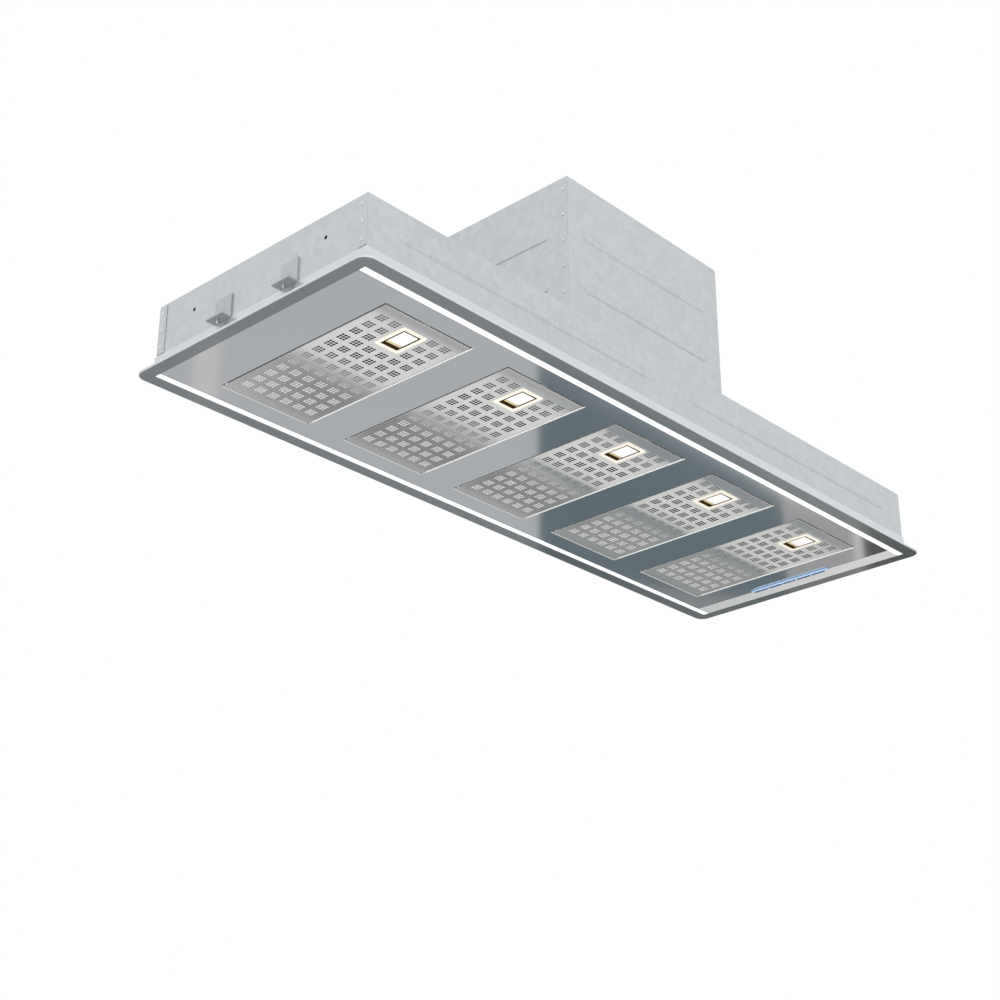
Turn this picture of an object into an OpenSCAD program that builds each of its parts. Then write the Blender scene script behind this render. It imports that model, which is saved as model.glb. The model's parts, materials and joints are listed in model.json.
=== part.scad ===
// Built-in range hood for the underside of a wall cabinet, drawn in millimetres.
// Origin: middle of the cabinet cut-out, level with the underside of the cabinet.
// +X runs to the right along the width, +Y to the wall behind, +Z up into the cabinet.

/* [Flange] */
// Width of the flange
flange_w = 1160; // [1120:5:1240]
// Depth of the flange
flange_d = 418; // [400:1:440]
// Width of the visible border
border_w = 19; // [17:0.5:24]
// Thickness of the border at its hemmed edge
flange_t = 3; // [2.5:0.1:4]
// Radius of the outer corners
corner_r = 16; // [8:0.5:18]
// Chamfer along the lower outer edge
edge_chamfer = 0.8; // [0.3:0.1:1.2]
// Width of the hem that seats against the cabinet
hem_w = 10; // [6:0.5:13]
// Sheet thickness of the frame
frame_t = 1.5; // [1:0.1:2]
// Height of the frame's upstand above the cabinet's underside
upstand_h = 24; // [20:1:30]
// Height of the ledge that carries the light channels and the panel
ledge_z = 9.5; // [9:0.1:11]
// Width of the ledge inside the upstand
ledge_w = 24; // [23:0.5:28]

/* [Light strips] */
// Visible width of a light strip
led_w = 10.4; // [9:0.1:12]
// Wall of the light channel
channel_t = 1; // [0.8:0.1:1.3]
// Width of the channel's own edge, seen beside the border
channel_lip = 1.4; // [1:0.1:2]
// Thickness of the diffuser's visible cap
diffuser_t = 1; // [0.8:0.1:1.4]
// Distance between LEDs
led_pitch = 33; // [25:1:50]

/* [Panel] */
// Thickness of the filter panel
panel_t = 1.2; // [1:0.1:1.5]
// Gap between sheets that lie side by side
seam = 0.15; // [0.1:0.05:0.3]
// Height of the lips at an opening's two ends
end_lip_h = 4.7; // [4:0.1:5]
// Height of the lips at an opening's two sides
side_lip_h = 12; // [9:0.1:12]
// Length of the notch between the front lip and the side lips
lip_relief = 7; // [5:0.5:9]
// Bevel of the sheet's bend round an opening
bend_bevel = 1.1; // [0.5:0.05:1.15]
// Radius of the weld studs
stud_r = 2; // [1.5:0.1:2.5]
// Width of the control fascia
fascia_w = 27; // [22:0.5:32]

/* [Filters] */
// Distance from the border to the first and to the last filter
filter_margin = 73.75; // [60:0.25:90]
// Width of a filter
filter_w = 140.5; // [132:0.5:148]
// Length of a filter
filter_l = 292; // [285:0.5:300]
// Thickness of a filter
filter_h = 9; // [9:0.1:10]
// Gap all round a filter
filter_gap = 2.25; // [1.8:0.05:2.6]
// How far the filters sit above the panel's face
filter_recess = 0.2; // [0:0.05:1]
// Sheet thickness of the filter tray
tray_t = 0.8; // [0.6:0.1:1]
// Size of one square of perforations
tile = 14.5; // [12:0.1:16]
// Distance between squares across the filter
tile_pitch_x = 21; // [19:0.1:22]
// Distance between squares along the filter
tile_pitch_y = 21.9; // [20:0.1:22.5]
// Radius of the stub pivots at the rear of a filter
pivot_r = 2; // [1.5:0.1:2.4]
// Radial clearance of the stub pivots
pivot_clearance = 0.05; // [0.03:0.01:0.1]
// Distance from a filter's rear end to its pivot
pivot_in = 3.5; // [3:0.1:4.5]

/* [Filter latch] */
// Width of the handle bezel
bezel_w = 39; // [37:0.5:42]
// Length of the handle bezel
bezel_l = 53; // [51:0.5:56]
// Width of the finger window
window_w = 28; // [27:0.5:30]
// Length of the finger window
window_l = 42; // [41:0.5:44]
// Thickness of the bezel flange
bezel_t = 0.8; // [0.6:0.1:0.9]
// Wall of the handle cup
cup_t = 0.8; // [0.6:0.1:1]
// Depth inside the handle cup
cup_depth = 7; // [6.8:0.1:7.3]
// Width of the latch plate
plate_w = 23.5; // [20:0.5:25]
// Length of the latch plate
plate_l = 32; // [28:0.5:33]
// Thickness of the latch plate
plate_t = 1.6; // [1.2:0.1:2]
// Width of the latch tongue
tongue_w = 12; // [8:0.5:13]
// Thickness of the latch tongue
tongue_t = 1.6; // [1.2:0.1:1.7]
// Gap between the resting tongue and the front lip
tongue_gap = 0.3; // [0.2:0.05:0.5]
// Radius of a latch spring
spring_r = 2.2; // [1.8:0.1:2.2]
// Wire thickness of a latch spring
wire_t = 0.6; // [0.4:0.1:0.8]

/* [Keys] */
// Length of one key
key_l = 25; // [22:0.5:26]
// Width of one key
key_w = 5; // [4.6:0.1:5.2]
// Distance between the middles of two keys
key_pitch = 27; // [27:0.5:28]
// Travel of a key
key_travel = 0.8; // [0.5:0.1:1]
// How far the keys stand below the panel
key_drop = 3.4; // [3:0.1:4.5]
// Thickness of the key rail under the panel
rail_h = 1.2; // [1:0.1:1.5]
// Length of the key rail
rail_l = 143; // [143:1:150]
// Wall of the key rail beside the keys
rail_t = 0.6; // [0.5:0.05:0.7]
// Distance from the rail's right side to the fascia
rail_to_fascia = 0.4; // [0.3:0.1:1]
// How far the key rail sits in front of the middle
rail_forward = 2; // [0:0.5:6]

/* [Housing] */
// Height of the housing above the cabinet's underside
housing_h = 95; // [85:1:130]
// Sheet thickness of the housing
housing_t = 1; // [0.8:0.1:1.5]
// Width of the blower tower
tower_w = 330; // [320:1:360]
// Depth of the blower tower
tower_d = 300; // [296:1:330]
// Height of the blower tower
tower_h = 240; // [236:1:260]

/* [Blower] */
// Outer radius of the impeller
impeller_r = 85; // [80:1:85]
// Inner radius of the impeller's blades
blade_in_r = 69; // [67:1:70]
// Length of the blades on each side of the centre plate
blade_l = 50; // [40:1:52]
// Gap between the impeller and the scroll's cut-off
cutoff_gap = 8; // [6:0.5:8]
// Growth of the scroll's radius round the impeller
scroll_growth = 36; // [30:1:36]
// Half of the scroll's inner width
scroll_half = 60; // [56:1:64]
// Wall of the scroll
scroll_t = 2; // [1.5:0.1:2.5]
// Radius of the air inlet in each side of the scroll
inlet_r = 66; // [60:1:68]
// Radius of the motor
motor_r = 42; // [36:1:50]
// Radius of the motor shaft
shaft_r = 4; // [3:0.5:5]
// Radial clearance of the motor shaft in its bearings
shaft_clearance = 0.05; // [0.03:0.01:0.1]

/* [Outlet] */
// Outer radius of the duct spigot
spigot_r = 75; // [70:0.5:76]
// Height of the duct spigot
spigot_h = 50; // [45:1:70]
// Wall of the duct spigot
spigot_t = 1.5; // [1.2:0.1:2]
// Thickness of a non-return flap
flap_t = 1.2; // [1:0.1:1.6]
// Radius of a flap's hinge rod
flap_pin_r = 1.5; // [1:0.1:1.6]
// Radial clearance of a flap on its rod
flap_clearance = 0.05; // [0.03:0.01:0.1]

/* [Fixings and electrics] */
// Thickness of the cabinet board that the clamps hold
board_t = 18; // [16:1:19]
// Radius of the fixing holes in the housing's ends
fixing_r = 2.6; // [2:0.1:3]
// Distance between the two fixing holes in an end
fixing_spacing = 240; // [200:5:280]
// Length of the electronics box
box_l = 200; // [180:5:240]
// Width of the electronics box
box_w = 110; // [100:5:140]
// Height of the electronics box
box_h = 45; // [40:1:60]
// Radius of the cable entry
cable_r = 4.5; // [3.5:0.1:5]

/* [Hidden] */
$fn = 64;
// Overshoot of a cut past the face that it opens
over = 1;
// Running gap of parts that slide flat on each other
slip = 0.1;

// Flange and panel
z_face = -flange_t;
inner_w = flange_w - 2 * border_w;
inner_d = flange_d - 2 * border_w;
ledge_top = ledge_z + frame_t;
fascia_x0 = inner_w / 2 - fascia_w;
panel_x0 = -inner_w / 2 + seam;
panel_x1 = fascia_x0 - seam;
panel_half = inner_d / 2 - led_w - seam;
panel_top = z_face + panel_t;
stud_y = panel_half - 7;
stud_top = ledge_top + 5;
nut_h = 3.2;
nut_r = 4;

// Filters
filter_count = 5;
tile_cols = 6;
tile_rows = 12;
open_w = filter_w + 2 * filter_gap;
open_l = filter_l + 2 * filter_gap;
filter_z = z_face + filter_recess;
pivot_y = filter_l / 2 - pivot_in;
pivot_z = filter_z + pivot_in;
pivot_reach = filter_gap + panel_t + 1;
tile_margin = (filter_l - (tile_rows - 1) * tile_pitch_y - tile) / 2;
handle_y = tile_margin + tile_pitch_y + tile / 2;
return_w = 5;
filter_pitch = (inner_w - 2 * filter_margin - filter_w) / (filter_count - 1);
function filter_x(i) = (i - (filter_count + 1) / 2) * filter_pitch;

// Latch, in the filter's own frame: y from its front end, z from its lower face
cup_w = window_w + 2 * cup_t;
cup_l = window_l + 2 * cup_t;
cup_front = handle_y - cup_l / 2;
plate_gap = 2.5;
plate_y0 = handle_y - window_l / 2 + plate_gap;
plate_z = -bezel_t + 0.3;
tongue_z = end_lip_h - filter_recess + 0.5;
tongue_tip = -filter_gap + tongue_gap;
rib_l = 3;
rib_drop = 0.4;
groove_l = 1.2;
shoulder_y = 7;
shoulder_t = 1.5;
spring_x = tongue_w / 2 + spring_r + 1.5;
spring_z = tongue_z + tongue_t / 2;

// Keys: caps below the rail, necks through the panel, switches on a board above
rail_w = key_w + 2 * slip + 2 * rail_t;
rail_x1 = fascia_x0 - rail_to_fascia;
rail_x0 = rail_x1 - rail_w;
rail_y = -rail_forward;
key_x = (rail_x0 + rail_x1) / 2;
neck_w = 2.6;
neck_l = key_l - 5;
neck_gap = 0.2;
hook_z = panel_top + slip / 2;
hook_t = 1;
hook_out = 0.8;
stem_top = hook_z + hook_t + 3;
switch_size = [6, 6, 3.5];
key_board_z = stem_top + key_travel + slip + switch_size[2];
key_board_t = 1.6;
post_r = 1.5;
post_inset = 2;
rail_end = 4;
control_h = 18;
control_w = 32;
control_x1 = fascia_x0 + 6;
control_l = rail_l + 2 * rail_end;
control_t = 1.5;

// Housing
shell_w = inner_w - 0.4;
shell_d = inner_d - 0.4;
roof_t = 1.2;
roof_top = housing_h + roof_t;
tower_top = roof_top + tower_h;
tower_ceiling = tower_top - housing_t;

// Blower: the scroll stands on its edge, with its axis along X
cutoff_a = -10;
cutoff_r = impeller_r + cutoff_gap;
function scroll_r(a) = cutoff_r + scroll_growth * (a - cutoff_a) / (270 - cutoff_a);
scroll_max = cutoff_r + scroll_growth;
axis_y = tower_d / 2 - housing_t - scroll_t - 8 - scroll_max;
axis_z = roof_top + 8 + scroll_t + scroll_r(180);
duct_y0 = axis_y + scroll_max - 139;
motor_front = -16;
shaft_end = 14;
hub_l = 12;

// Outlet
spigot_y = axis_y + scroll_max - 69;
base_w = 156;
base_t = 1.5;
flap_pin_z = tower_top + base_t + 18;
flap_pin_y = 4;
flap_tube_r = flap_pin_r + flap_clearance + 1.1;
flap_z = flap_pin_z - flap_tube_r;
flap_edge_r = spigot_r - spigot_t - 0.7;

// Electrics on the roof
box_x0 = (tower_w / 2 + shell_w / 2 - box_l) / 2;
wall_t = 2;
gland_z = roof_top + box_h / 2;
wire_hole_in = 20;
wire_hole_r = 8;
board_front = 32;
board_back = 18;
board_side = 12;
board_post_h = 6;
coil_size = [36, 30, 22];
heat_sink_size = [24, 58, 10];
terminal_size = [14, 40, 13];
gland_nut_t = 6;
cap_r = 17.5;
cap_h = 62;
capacitor_out = 60;
capacitor_y = 60;

// A closed ring of rectangular outline between two heights
module ring(w, d, w_in, d_in, z0, z1) {
    translate([0, 0, z0])
        linear_extrude(z1 - z0)
            difference() {
                square([w, d], center = true);
                square([w_in, d_in], center = true);
            }
}

// A box given by its lowest and highest corners
module span(low, high) {
    translate(low)
        cube(high - low);
}

// A round rod along X between two places
module rod_x(r, x0, x1) {
    translate([x0, 0, 0])
        rotate([0, 90, 0])
            cylinder(r = r, h = x1 - x0);
}

// A profile drawn in Y and Z, extruded along X between two places
module along_x(x0, x1) {
    translate([x0, 0, 0])
        rotate([90, 0, 90])
            linear_extrude(x1 - x0)
                children();
}

module rounded_rect(w, d, r) {
    square([w - 2 * r, d], center = true);
    square([w, d - 2 * r], center = true);
    for (x = [-1, 1], y = [-1, 1])
        translate([x * (w / 2 - r), y * (d / 2 - r)])
            circle(r = r);
}

// A plate with round corners and a chamfer round its lower edge
module rounded_plate(w, d, r, h, chamfer) {
    translate([0, 0, chamfer])
        linear_extrude(h - chamfer)
            rounded_rect(w, d, r);
    for (turn = [0, 90]) {
        across = (turn == 0 ? d : w) / 2;
        along = (turn == 0 ? w : d) / 2 - r;
        rotate([0, 0, turn])
            along_x(-along, along)
                polygon([
                    [-across + chamfer, 0], [across - chamfer, 0],
                    [across, chamfer], [-across, chamfer]
                ]);
    }
    for (x = [-1, 1], y = [-1, 1])
        translate([x * (w / 2 - r), y * (d / 2 - r), 0])
            cylinder(r1 = r - chamfer, r2 = r, h = chamfer);
}

module stud_places(z) {
    for (i = [1 : filter_count], side = [-1, 1])
        translate([filter_x(i), side * stud_y, z])
            children();
}

// Folded frame: hemmed border, upstand and inner ledge
module flange_frame() {
    color("#7d8184")
    difference() {
        union() {
            difference() {
                translate([0, 0, z_face])
                    rounded_plate(flange_w, flange_d, corner_r, flange_t, edge_chamfer);
                // behind the border the sheet is single
                translate([0, 0, z_face + frame_t])
                    linear_extrude(flange_t)
                        square([flange_w - 2 * hem_w, flange_d - 2 * hem_w], center = true);
            }
            ring(inner_w + 2 * frame_t, inner_d + 2 * frame_t, inner_w, inner_d, z_face, upstand_h);
        }
        translate([0, 0, z_face - over])
            linear_extrude(flange_t + 2 * over)
                square([inner_w, inner_d], center = true);
    }
    color("#7d8184")
    difference() {
        span([-inner_w / 2 - slip, -inner_d / 2 - slip, ledge_z],
             [inner_w / 2 + slip, inner_d / 2 + slip, ledge_top]);
        span([-inner_w / 2 + ledge_w, -inner_d / 2 + ledge_w, ledge_z - over],
             [fascia_x0 - 14, inner_d / 2 - ledge_w, ledge_top + over]);
        // room for the control box
        span([fascia_x0 - 30, rail_y - control_l / 2 - 4, ledge_z - over],
             [fascia_x0 + 8, rail_y + control_l / 2 + 4, ledge_top + over]);
        stud_places(ledge_z - over)
            cylinder(r = stud_r + 0.2, h = frame_t + 2 * over);
    }
}

// Bevel along the lower edges of an opening, where the sheet bends up
module bend_bevels() {
    for (turn = [0, 90]) {
        across = (turn == 0 ? open_l : open_w) / 2;
        along = (turn == 0 ? open_w : open_l) / 2 + bend_bevel;
        rotate([0, 0, turn])
            along_x(-along, along)
                for (side = [-1, 1])
                    polygon([
                        [side * (across - over), z_face - over],
                        [side * (across + bend_bevel + over), z_face - over],
                        [side * (across - over), z_face + bend_bevel + over]
                    ]);
    }
}

module opening_lips(i) {
    translate([filter_x(i), 0, 0]) {
        // front lip, then past the corner notches the rear lip with the low part of the sides
        span([-open_w / 2 - panel_t, -open_l / 2 - panel_t, z_face],
             [open_w / 2 + panel_t, -open_l / 2 + over, z_face + end_lip_h]);
        span([-open_w / 2 - panel_t, -open_l / 2 + lip_relief, z_face],
             [open_w / 2 + panel_t, open_l / 2 + panel_t, z_face + end_lip_h]);
        for (side = [-1, 1])
            translate([side * (open_w + panel_t) / 2, (lip_relief + panel_t) / 2, z_face + side_lip_h / 2])
                cube([panel_t, open_l + panel_t - lip_relief, side_lip_h], center = true);
    }
}

// Polished sheet with five openings, turned-up lips, returns and weld studs
module filter_panel() {
    color("#a9acaf")
    difference() {
        union() {
            span([panel_x0, -panel_half, z_face], [panel_x1, panel_half, panel_top]);
            difference() {
                span([panel_x0, -panel_half, z_face], [panel_x1, panel_half, ledge_z]);
                span([panel_x0 + panel_t, -panel_half + panel_t, z_face - over],
                     [panel_x1 - panel_t, panel_half - panel_t, ledge_z + over]);
                // the right return is cut away beside the control box
                span([panel_x1 - 2 * panel_t, rail_y - control_l / 2, panel_top],
                     [panel_x1 + over, rail_y + control_l / 2, ledge_z + over]);
            }
            for (i = [1 : filter_count])
                opening_lips(i);
            stud_places(panel_top)
                cylinder(r = stud_r, h = stud_top - panel_top);
        }
        for (i = [1 : filter_count])
            translate([filter_x(i), 0, 0]) {
                translate([0, 0, z_face - over])
                    linear_extrude(side_lip_h + 2 * over)
                        square([open_w, open_l], center = true);
                bend_bevels();
                translate([0, pivot_y, pivot_z])
                    rod_x(pivot_r + pivot_clearance, -open_w / 2 - panel_t - over,
                          open_w / 2 + panel_t + over);
            }
        // slots for the keys' necks and holes for the rail's posts
        for (k = [1 : 5])
            translate([key_x, key_y(k), z_face + panel_t / 2])
                cube([neck_w + 2 * neck_gap, neck_l + 2 * neck_gap, panel_t + 2 * over], center = true);
        for (side = [-1, 1])
            translate([key_x, rail_y + side * (rail_l / 2 - post_inset), z_face - over])
                cylinder(r = post_r + slip, h = panel_t + 2 * over);
    }
}

// Pale strip between the panel and the border
module control_fascia() {
    color("#c9cbcb")
    difference() {
        span([fascia_x0, -panel_half, z_face], [inner_w / 2 - seam, panel_half, ledge_z]);
        span([fascia_x0 + panel_t, -panel_half - over, panel_top],
             [inner_w / 2 - seam - panel_t, panel_half + over, ledge_z + over]);
        // the left return is cut away beside the control box
        span([fascia_x0 - over, rail_y - control_l / 2 - 4, panel_top],
             [fascia_x0 + 2 * panel_t, rail_y + control_l / 2 + 4, ledge_z + over]);
    }
}

module light_places() {
    for (side = [0, 180])
        rotate([0, 0, side])
            translate([0, (inner_d - led_w) / 2, 0])
                children();
}

light_len = inner_w - 2 * seam;
channel_w = led_w - slip;

// Aluminium channels, open downward
module led_profiles() {
    color("#b8babb")
    light_places()
        along_x(-light_len / 2, light_len / 2)
            difference() {
                translate([-channel_w / 2, z_face + diffuser_t])
                    square([channel_w, ledge_z - z_face - diffuser_t]);
                translate([-channel_w / 2 + channel_t, z_face])
                    square([channel_w - 2 * channel_t, ledge_z - z_face - channel_t]);
            }
    // outer edge of each channel, seen beside the border
    light_places()
        along_x(-light_len / 2, light_len / 2)
            translate([channel_w / 2 - channel_lip, z_face])
                square([channel_lip, diffuser_t + over]);
}

// Opal strips that close the channels, flush with the underside
module led_diffusers() {
    stem_y0 = -channel_w / 2 + channel_t + slip;
    cap_y1 = channel_w / 2 - channel_lip - slip;
    color("#ffffff")
    light_places()
        along_x(-light_len / 2, light_len / 2) {
            translate([-channel_w / 2, z_face])
                square([cap_y1 + channel_w / 2, diffuser_t]);
            translate([stem_y0, z_face])
                square([cap_y1 - stem_y0, diffuser_t + 2]);
        }
}

// Circuit strips with their LEDs, under the web of each channel
module led_boards() {
    top = ledge_z - channel_t;
    strip_w = channel_w - 2 * channel_t - 1;
    strip_t = 1.2;
    chip = 3;
    chip_h = 0.8;
    count = floor((light_len - 20) / led_pitch);
    color("#e8e4d0")
    light_places() {
        span([-light_len / 2 + 4, -strip_w / 2, top - strip_t], [light_len / 2 - 4, strip_w / 2, top]);
        for (k = [0 : count])
            translate([(k - count / 2) * led_pitch, 0, top - strip_t - chip_h / 2])
                cube([chip, chip, chip_h], center = true);
    }
}

function key_y(k) = rail_y + (k - 3) * key_pitch;

// Rail under the panel, with a window for each key and two posts
module key_rail() {
    color("#24508f")
    difference() {
        union() {
            span([rail_x0, rail_y - rail_l / 2, z_face - rail_h], [rail_x1, rail_y + rail_l / 2, z_face]);
            for (side = [-1, 1])
                translate([key_x, rail_y + side * (rail_l / 2 - post_inset), z_face - rail_h / 2])
                    cylinder(r = post_r, h = rail_h / 2 + panel_t + 2);
        }
        for (k = [1 : 5])
            translate([key_x, key_y(k), z_face - rail_h / 2])
                cube([key_w + 2 * slip, key_l + 2 * slip, rail_h + 2 * over], center = true);
    }
}

// Push key: lit cap under the rail, neck through the panel, snap hooks and stem above it
module key(k) {
    cap_top = z_face - key_travel - slip;
    color("#a8ccf5")
    translate([key_x, key_y(k), 0]) {
        span([-key_w / 2, -key_l / 2, z_face - key_drop], [key_w / 2, key_l / 2, cap_top]);
        span([-neck_w / 2, -neck_l / 2, cap_top], [neck_w / 2, neck_l / 2, hook_z]);
        span([-neck_w / 2, -neck_l / 2 - hook_out, hook_z],
             [neck_w / 2, neck_l / 2 + hook_out, hook_z + hook_t]);
        span([-neck_w / 2, -2, hook_z + hook_t], [neck_w / 2, 2, stem_top]);
    }
}

module key_1() key(1);
module key_2() key(2);
module key_3() key(3);
module key_4() key(4);
module key_5() key(5);

// Circuit board over the keys, with a switch for each and a connector on top
module key_board() {
    half = control_l / 2 - 1 - control_t - slip;
    color("#1f5a3a") {
        span([control_x1 - control_w + control_t + slip, rail_y - half, key_board_z],
             [control_x1 - control_t - slip, rail_y + half, key_board_z + key_board_t]);
        for (k = [1 : 5])
            translate([key_x, key_y(k), key_board_z - switch_size[2] / 2])
                cube(switch_size, center = true);
        translate([control_x1 - control_w + 8, rail_y, key_board_z + key_board_t + 2.5])
            cube([6, 24, 5], center = true);
    }
}

// Cover over the key electronics, with four posts that hold the board
module control_box() {
    inner_top = panel_top + control_h - control_t;
    color("#2b2d2f") {
        difference() {
            span([control_x1 - control_w, rail_y - control_l / 2 + 1, panel_top],
                 [control_x1, rail_y + control_l / 2 - 1, panel_top + control_h]);
            span([control_x1 - control_w + control_t, rail_y - control_l / 2 + 1 + control_t,
                  panel_top - over],
                 [control_x1 - control_t, rail_y + control_l / 2 - 1 - control_t, inner_top]);
        }
        for (x = [-1, 1], y = [-1, 1])
            translate([control_x1 - control_w / 2 + x * (control_w / 2 - 5),
                       rail_y + y * (control_l / 2 - 7), key_board_z + key_board_t])
                cylinder(r = 2.5, h = inner_top - key_board_z - key_board_t + control_t / 2);
    }
}

// The filter's own frame: y from its front end, z from its lower face
module at_filter(i) {
    translate([filter_x(i), -filter_l / 2, filter_z])
        children();
}

module tile_places() {
    for (c = [0 : tile_cols - 1], r = [0 : tile_rows - 1]) {
        x = (c - (tile_cols - 1) / 2) * tile_pitch_x;
        y = tile_margin + tile / 2 + r * tile_pitch_y;
        beside = abs(x) > (bezel_w + tile) / 2;
        beyond = abs(y - handle_y) > (bezel_l + tile) / 2;
        if (beside || beyond)
            translate([x, y, 0])
                children();
    }
}

// Perforated tray with folded sides and stub pivots at its rear
module filter_tray(i) {
    color("#b4b6b8")
    at_filter(i) {
        difference() {
            span([-filter_w / 2, 0, 0], [filter_w / 2, filter_l, filter_h]);
            span([-filter_w / 2 + tray_t, tray_t, tray_t],
                 [filter_w / 2 - tray_t, filter_l - tray_t, filter_h - tray_t]);
            span([-filter_w / 2 + return_w, return_w, tray_t],
                 [filter_w / 2 - return_w, filter_l - return_w, filter_h + over]);
            tile_places()
                translate([0, 0, tray_t / 2])
                    cube([tile, tile, tray_t + 2 * over], center = true);
            translate([0, handle_y, tray_t / 2])
                cube([cup_w + 2 * slip, cup_l + 2 * slip, tray_t + 2 * over], center = true);
            translate([0, tray_t / 2, tongue_z + tongue_t / 2])
                cube([tongue_w + 2 * slip, tray_t + 2 * over, tongue_t + 2 * slip], center = true);
        }
        for (side = [-1, 1])
            translate([side * ((filter_w + pivot_reach - tray_t) / 2), filter_l - pivot_in, pivot_in])
                rotate([0, 90, 0])
                    cylinder(r = pivot_r, h = pivot_reach + tray_t, center = true);
    }
}

module filter_tray_1() filter_tray(1);
module filter_tray_2() filter_tray(2);
module filter_tray_3() filter_tray(3);
module filter_tray_4() filter_tray(4);
module filter_tray_5() filter_tray(5);

// Layered mesh: a folded layer between two flat ones, open round the latch
module filter_mesh(i) {
    side = tray_t + 2 * slip;
    z0 = tray_t + slip;
    z1 = filter_h - tray_t - slip;
    layer = 0.6;
    fold = 4;
    low = z0 + layer + slip;
    high = z1 - layer - slip - layer;
    folds = floor((filter_l - 2 * side) / fold);
    edge = [for (k = [0 : folds]) [side + k * fold, k % 2 == 0 ? low : high]];
    color("#c4c6c6")
    at_filter(i)
        difference() {
            union() {
                span([-filter_w / 2 + side, side, z0], [filter_w / 2 - side, filter_l - side, z0 + layer]);
                span([-filter_w / 2 + side, side, z1 - layer], [filter_w / 2 - side, filter_l - side, z1]);
                along_x(-filter_w / 2 + side, filter_w / 2 - side)
                    polygon(concat(edge, [for (k = [folds : -1 : 0]) edge[k] + [0, layer]]));
            }
            span([-cup_w / 2 - 1.5, -over, 0], [cup_w / 2 + 1.5, handle_y + cup_l / 2 + 1, filter_h]);
        }
}

module filter_mesh_1() filter_mesh(1);
module filter_mesh_2() filter_mesh(2);
module filter_mesh_3() filter_mesh(3);
module filter_mesh_4() filter_mesh(4);
module filter_mesh_5() filter_mesh(5);

// Handle bezel with the finger cup behind it
module latch_bezel(i) {
    color("#e9dfc4")
    at_filter(i)
        difference() {
            union() {
                span([-bezel_w / 2, handle_y - bezel_l / 2, -bezel_t],
                     [bezel_w / 2, handle_y + bezel_l / 2, 0]);
                span([-cup_w / 2, cup_front, -bezel_t / 2],
                     [cup_w / 2, cup_front + cup_l, cup_depth + cup_t]);
            }
            span([-window_w / 2, handle_y - window_l / 2, -bezel_t - over],
                 [window_w / 2, handle_y + window_l / 2, cup_depth]);
            translate([0, cup_front, tongue_z + tongue_t / 2])
                cube([tongue_w + 2 * slip, 4 * cup_t, tongue_t + 2 * slip], center = true);
        }
}

module latch_bezel_1() latch_bezel(1);
module latch_bezel_2() latch_bezel(2);
module latch_bezel_3() latch_bezel(3);
module latch_bezel_4() latch_bezel(4);
module latch_bezel_5() latch_bezel(5);

// Sliding latch: finger plate, riser, tongue and spring shoulder
module latch_slide(i) {
    plate_y1 = plate_y0 + plate_l;
    color("#f2efe4")
    at_filter(i) {
        difference() {
            span([-plate_w / 2, plate_y0, plate_z], [plate_w / 2, plate_y1, plate_z + plate_t]);
            // groove in front of the finger rib
            span([-plate_w / 2 - over, plate_y1 - rib_l - groove_l, plate_z - over],
                 [plate_w / 2 + over, plate_y1 - rib_l, plate_z + plate_t / 2]);
        }
        span([-plate_w / 2, plate_y1 - rib_l, plate_z - rib_drop],
             [plate_w / 2, plate_y1, plate_z + plate_t / 2]);
        span([-tongue_w / 2, plate_y0 + 2, plate_z + plate_t / 2],
             [tongue_w / 2, plate_y0 + 5, tongue_z + tongue_t]);
        span([-tongue_w / 2, tongue_tip, tongue_z], [tongue_w / 2, plate_y0 + 5, tongue_z + tongue_t]);
        span([-spring_x - spring_r, shoulder_y, tongue_z - 0.5],
             [spring_x + spring_r, shoulder_y + shoulder_t, tongue_z + tongue_t + 0.5]);
    }
}

module latch_slide_1() latch_slide(1);
module latch_slide_2() latch_slide(2);
module latch_slide_3() latch_slide(3);
module latch_slide_4() latch_slide(4);
module latch_slide_5() latch_slide(5);

// Two compression springs between the shoulder and the cup
module latch_springs(i) {
    spring_y0 = shoulder_y + shoulder_t;
    color("#8e9194")
    at_filter(i)
        for (side = [-1, 1])
            translate([side * spring_x, spring_y0, spring_z])
                rotate([-90, 0, 0])
                    difference() {
                        cylinder(r = spring_r, h = cup_front - spring_y0);
                        translate([0, 0, -over])
                            cylinder(r = spring_r - wire_t, h = cup_front - spring_y0 + 2 * over);
                    }
}

module latch_springs_1() latch_springs(1);
module latch_springs_2() latch_springs(2);
module latch_springs_3() latch_springs(3);
module latch_springs_4() latch_springs(4);
module latch_springs_5() latch_springs(5);

// Four walls standing on the ledge, with a flange inward at the top
module housing_shell() {
    top_flange = 12;
    color("#c2c7c9")
    difference() {
        union() {
            ring(shell_w, shell_d, shell_w - 2 * housing_t, shell_d - 2 * housing_t, ledge_top, housing_h);
            ring(shell_w, shell_d, shell_w - 2 * top_flange, shell_d - 2 * top_flange,
                 housing_h - housing_t, housing_h);
        }
        for (side = [-1, 1])
            translate([0, side * fixing_spacing / 2, fixing_z])
                rod_x(fixing_r, -shell_w / 2 - over, shell_w / 2 + over);
    }
}

fixing_z = (upstand_h + housing_h) / 2 + 6;

// Flat roof with the air passage up into the tower
module housing_roof() {
    color("#b9bec1")
    difference() {
        span([-shell_w / 2, -shell_d / 2, housing_h], [shell_w / 2, shell_d / 2, roof_top]);
        translate([0, 0, housing_h - over])
            linear_extrude(roof_t + 2 * over)
                square([tower_w - 30, tower_d - 30], center = true);
        translate([box_x0 + wire_hole_in, 0, housing_h - over])
            cylinder(r = wire_hole_r, h = roof_t + 2 * over);
    }
}

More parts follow.
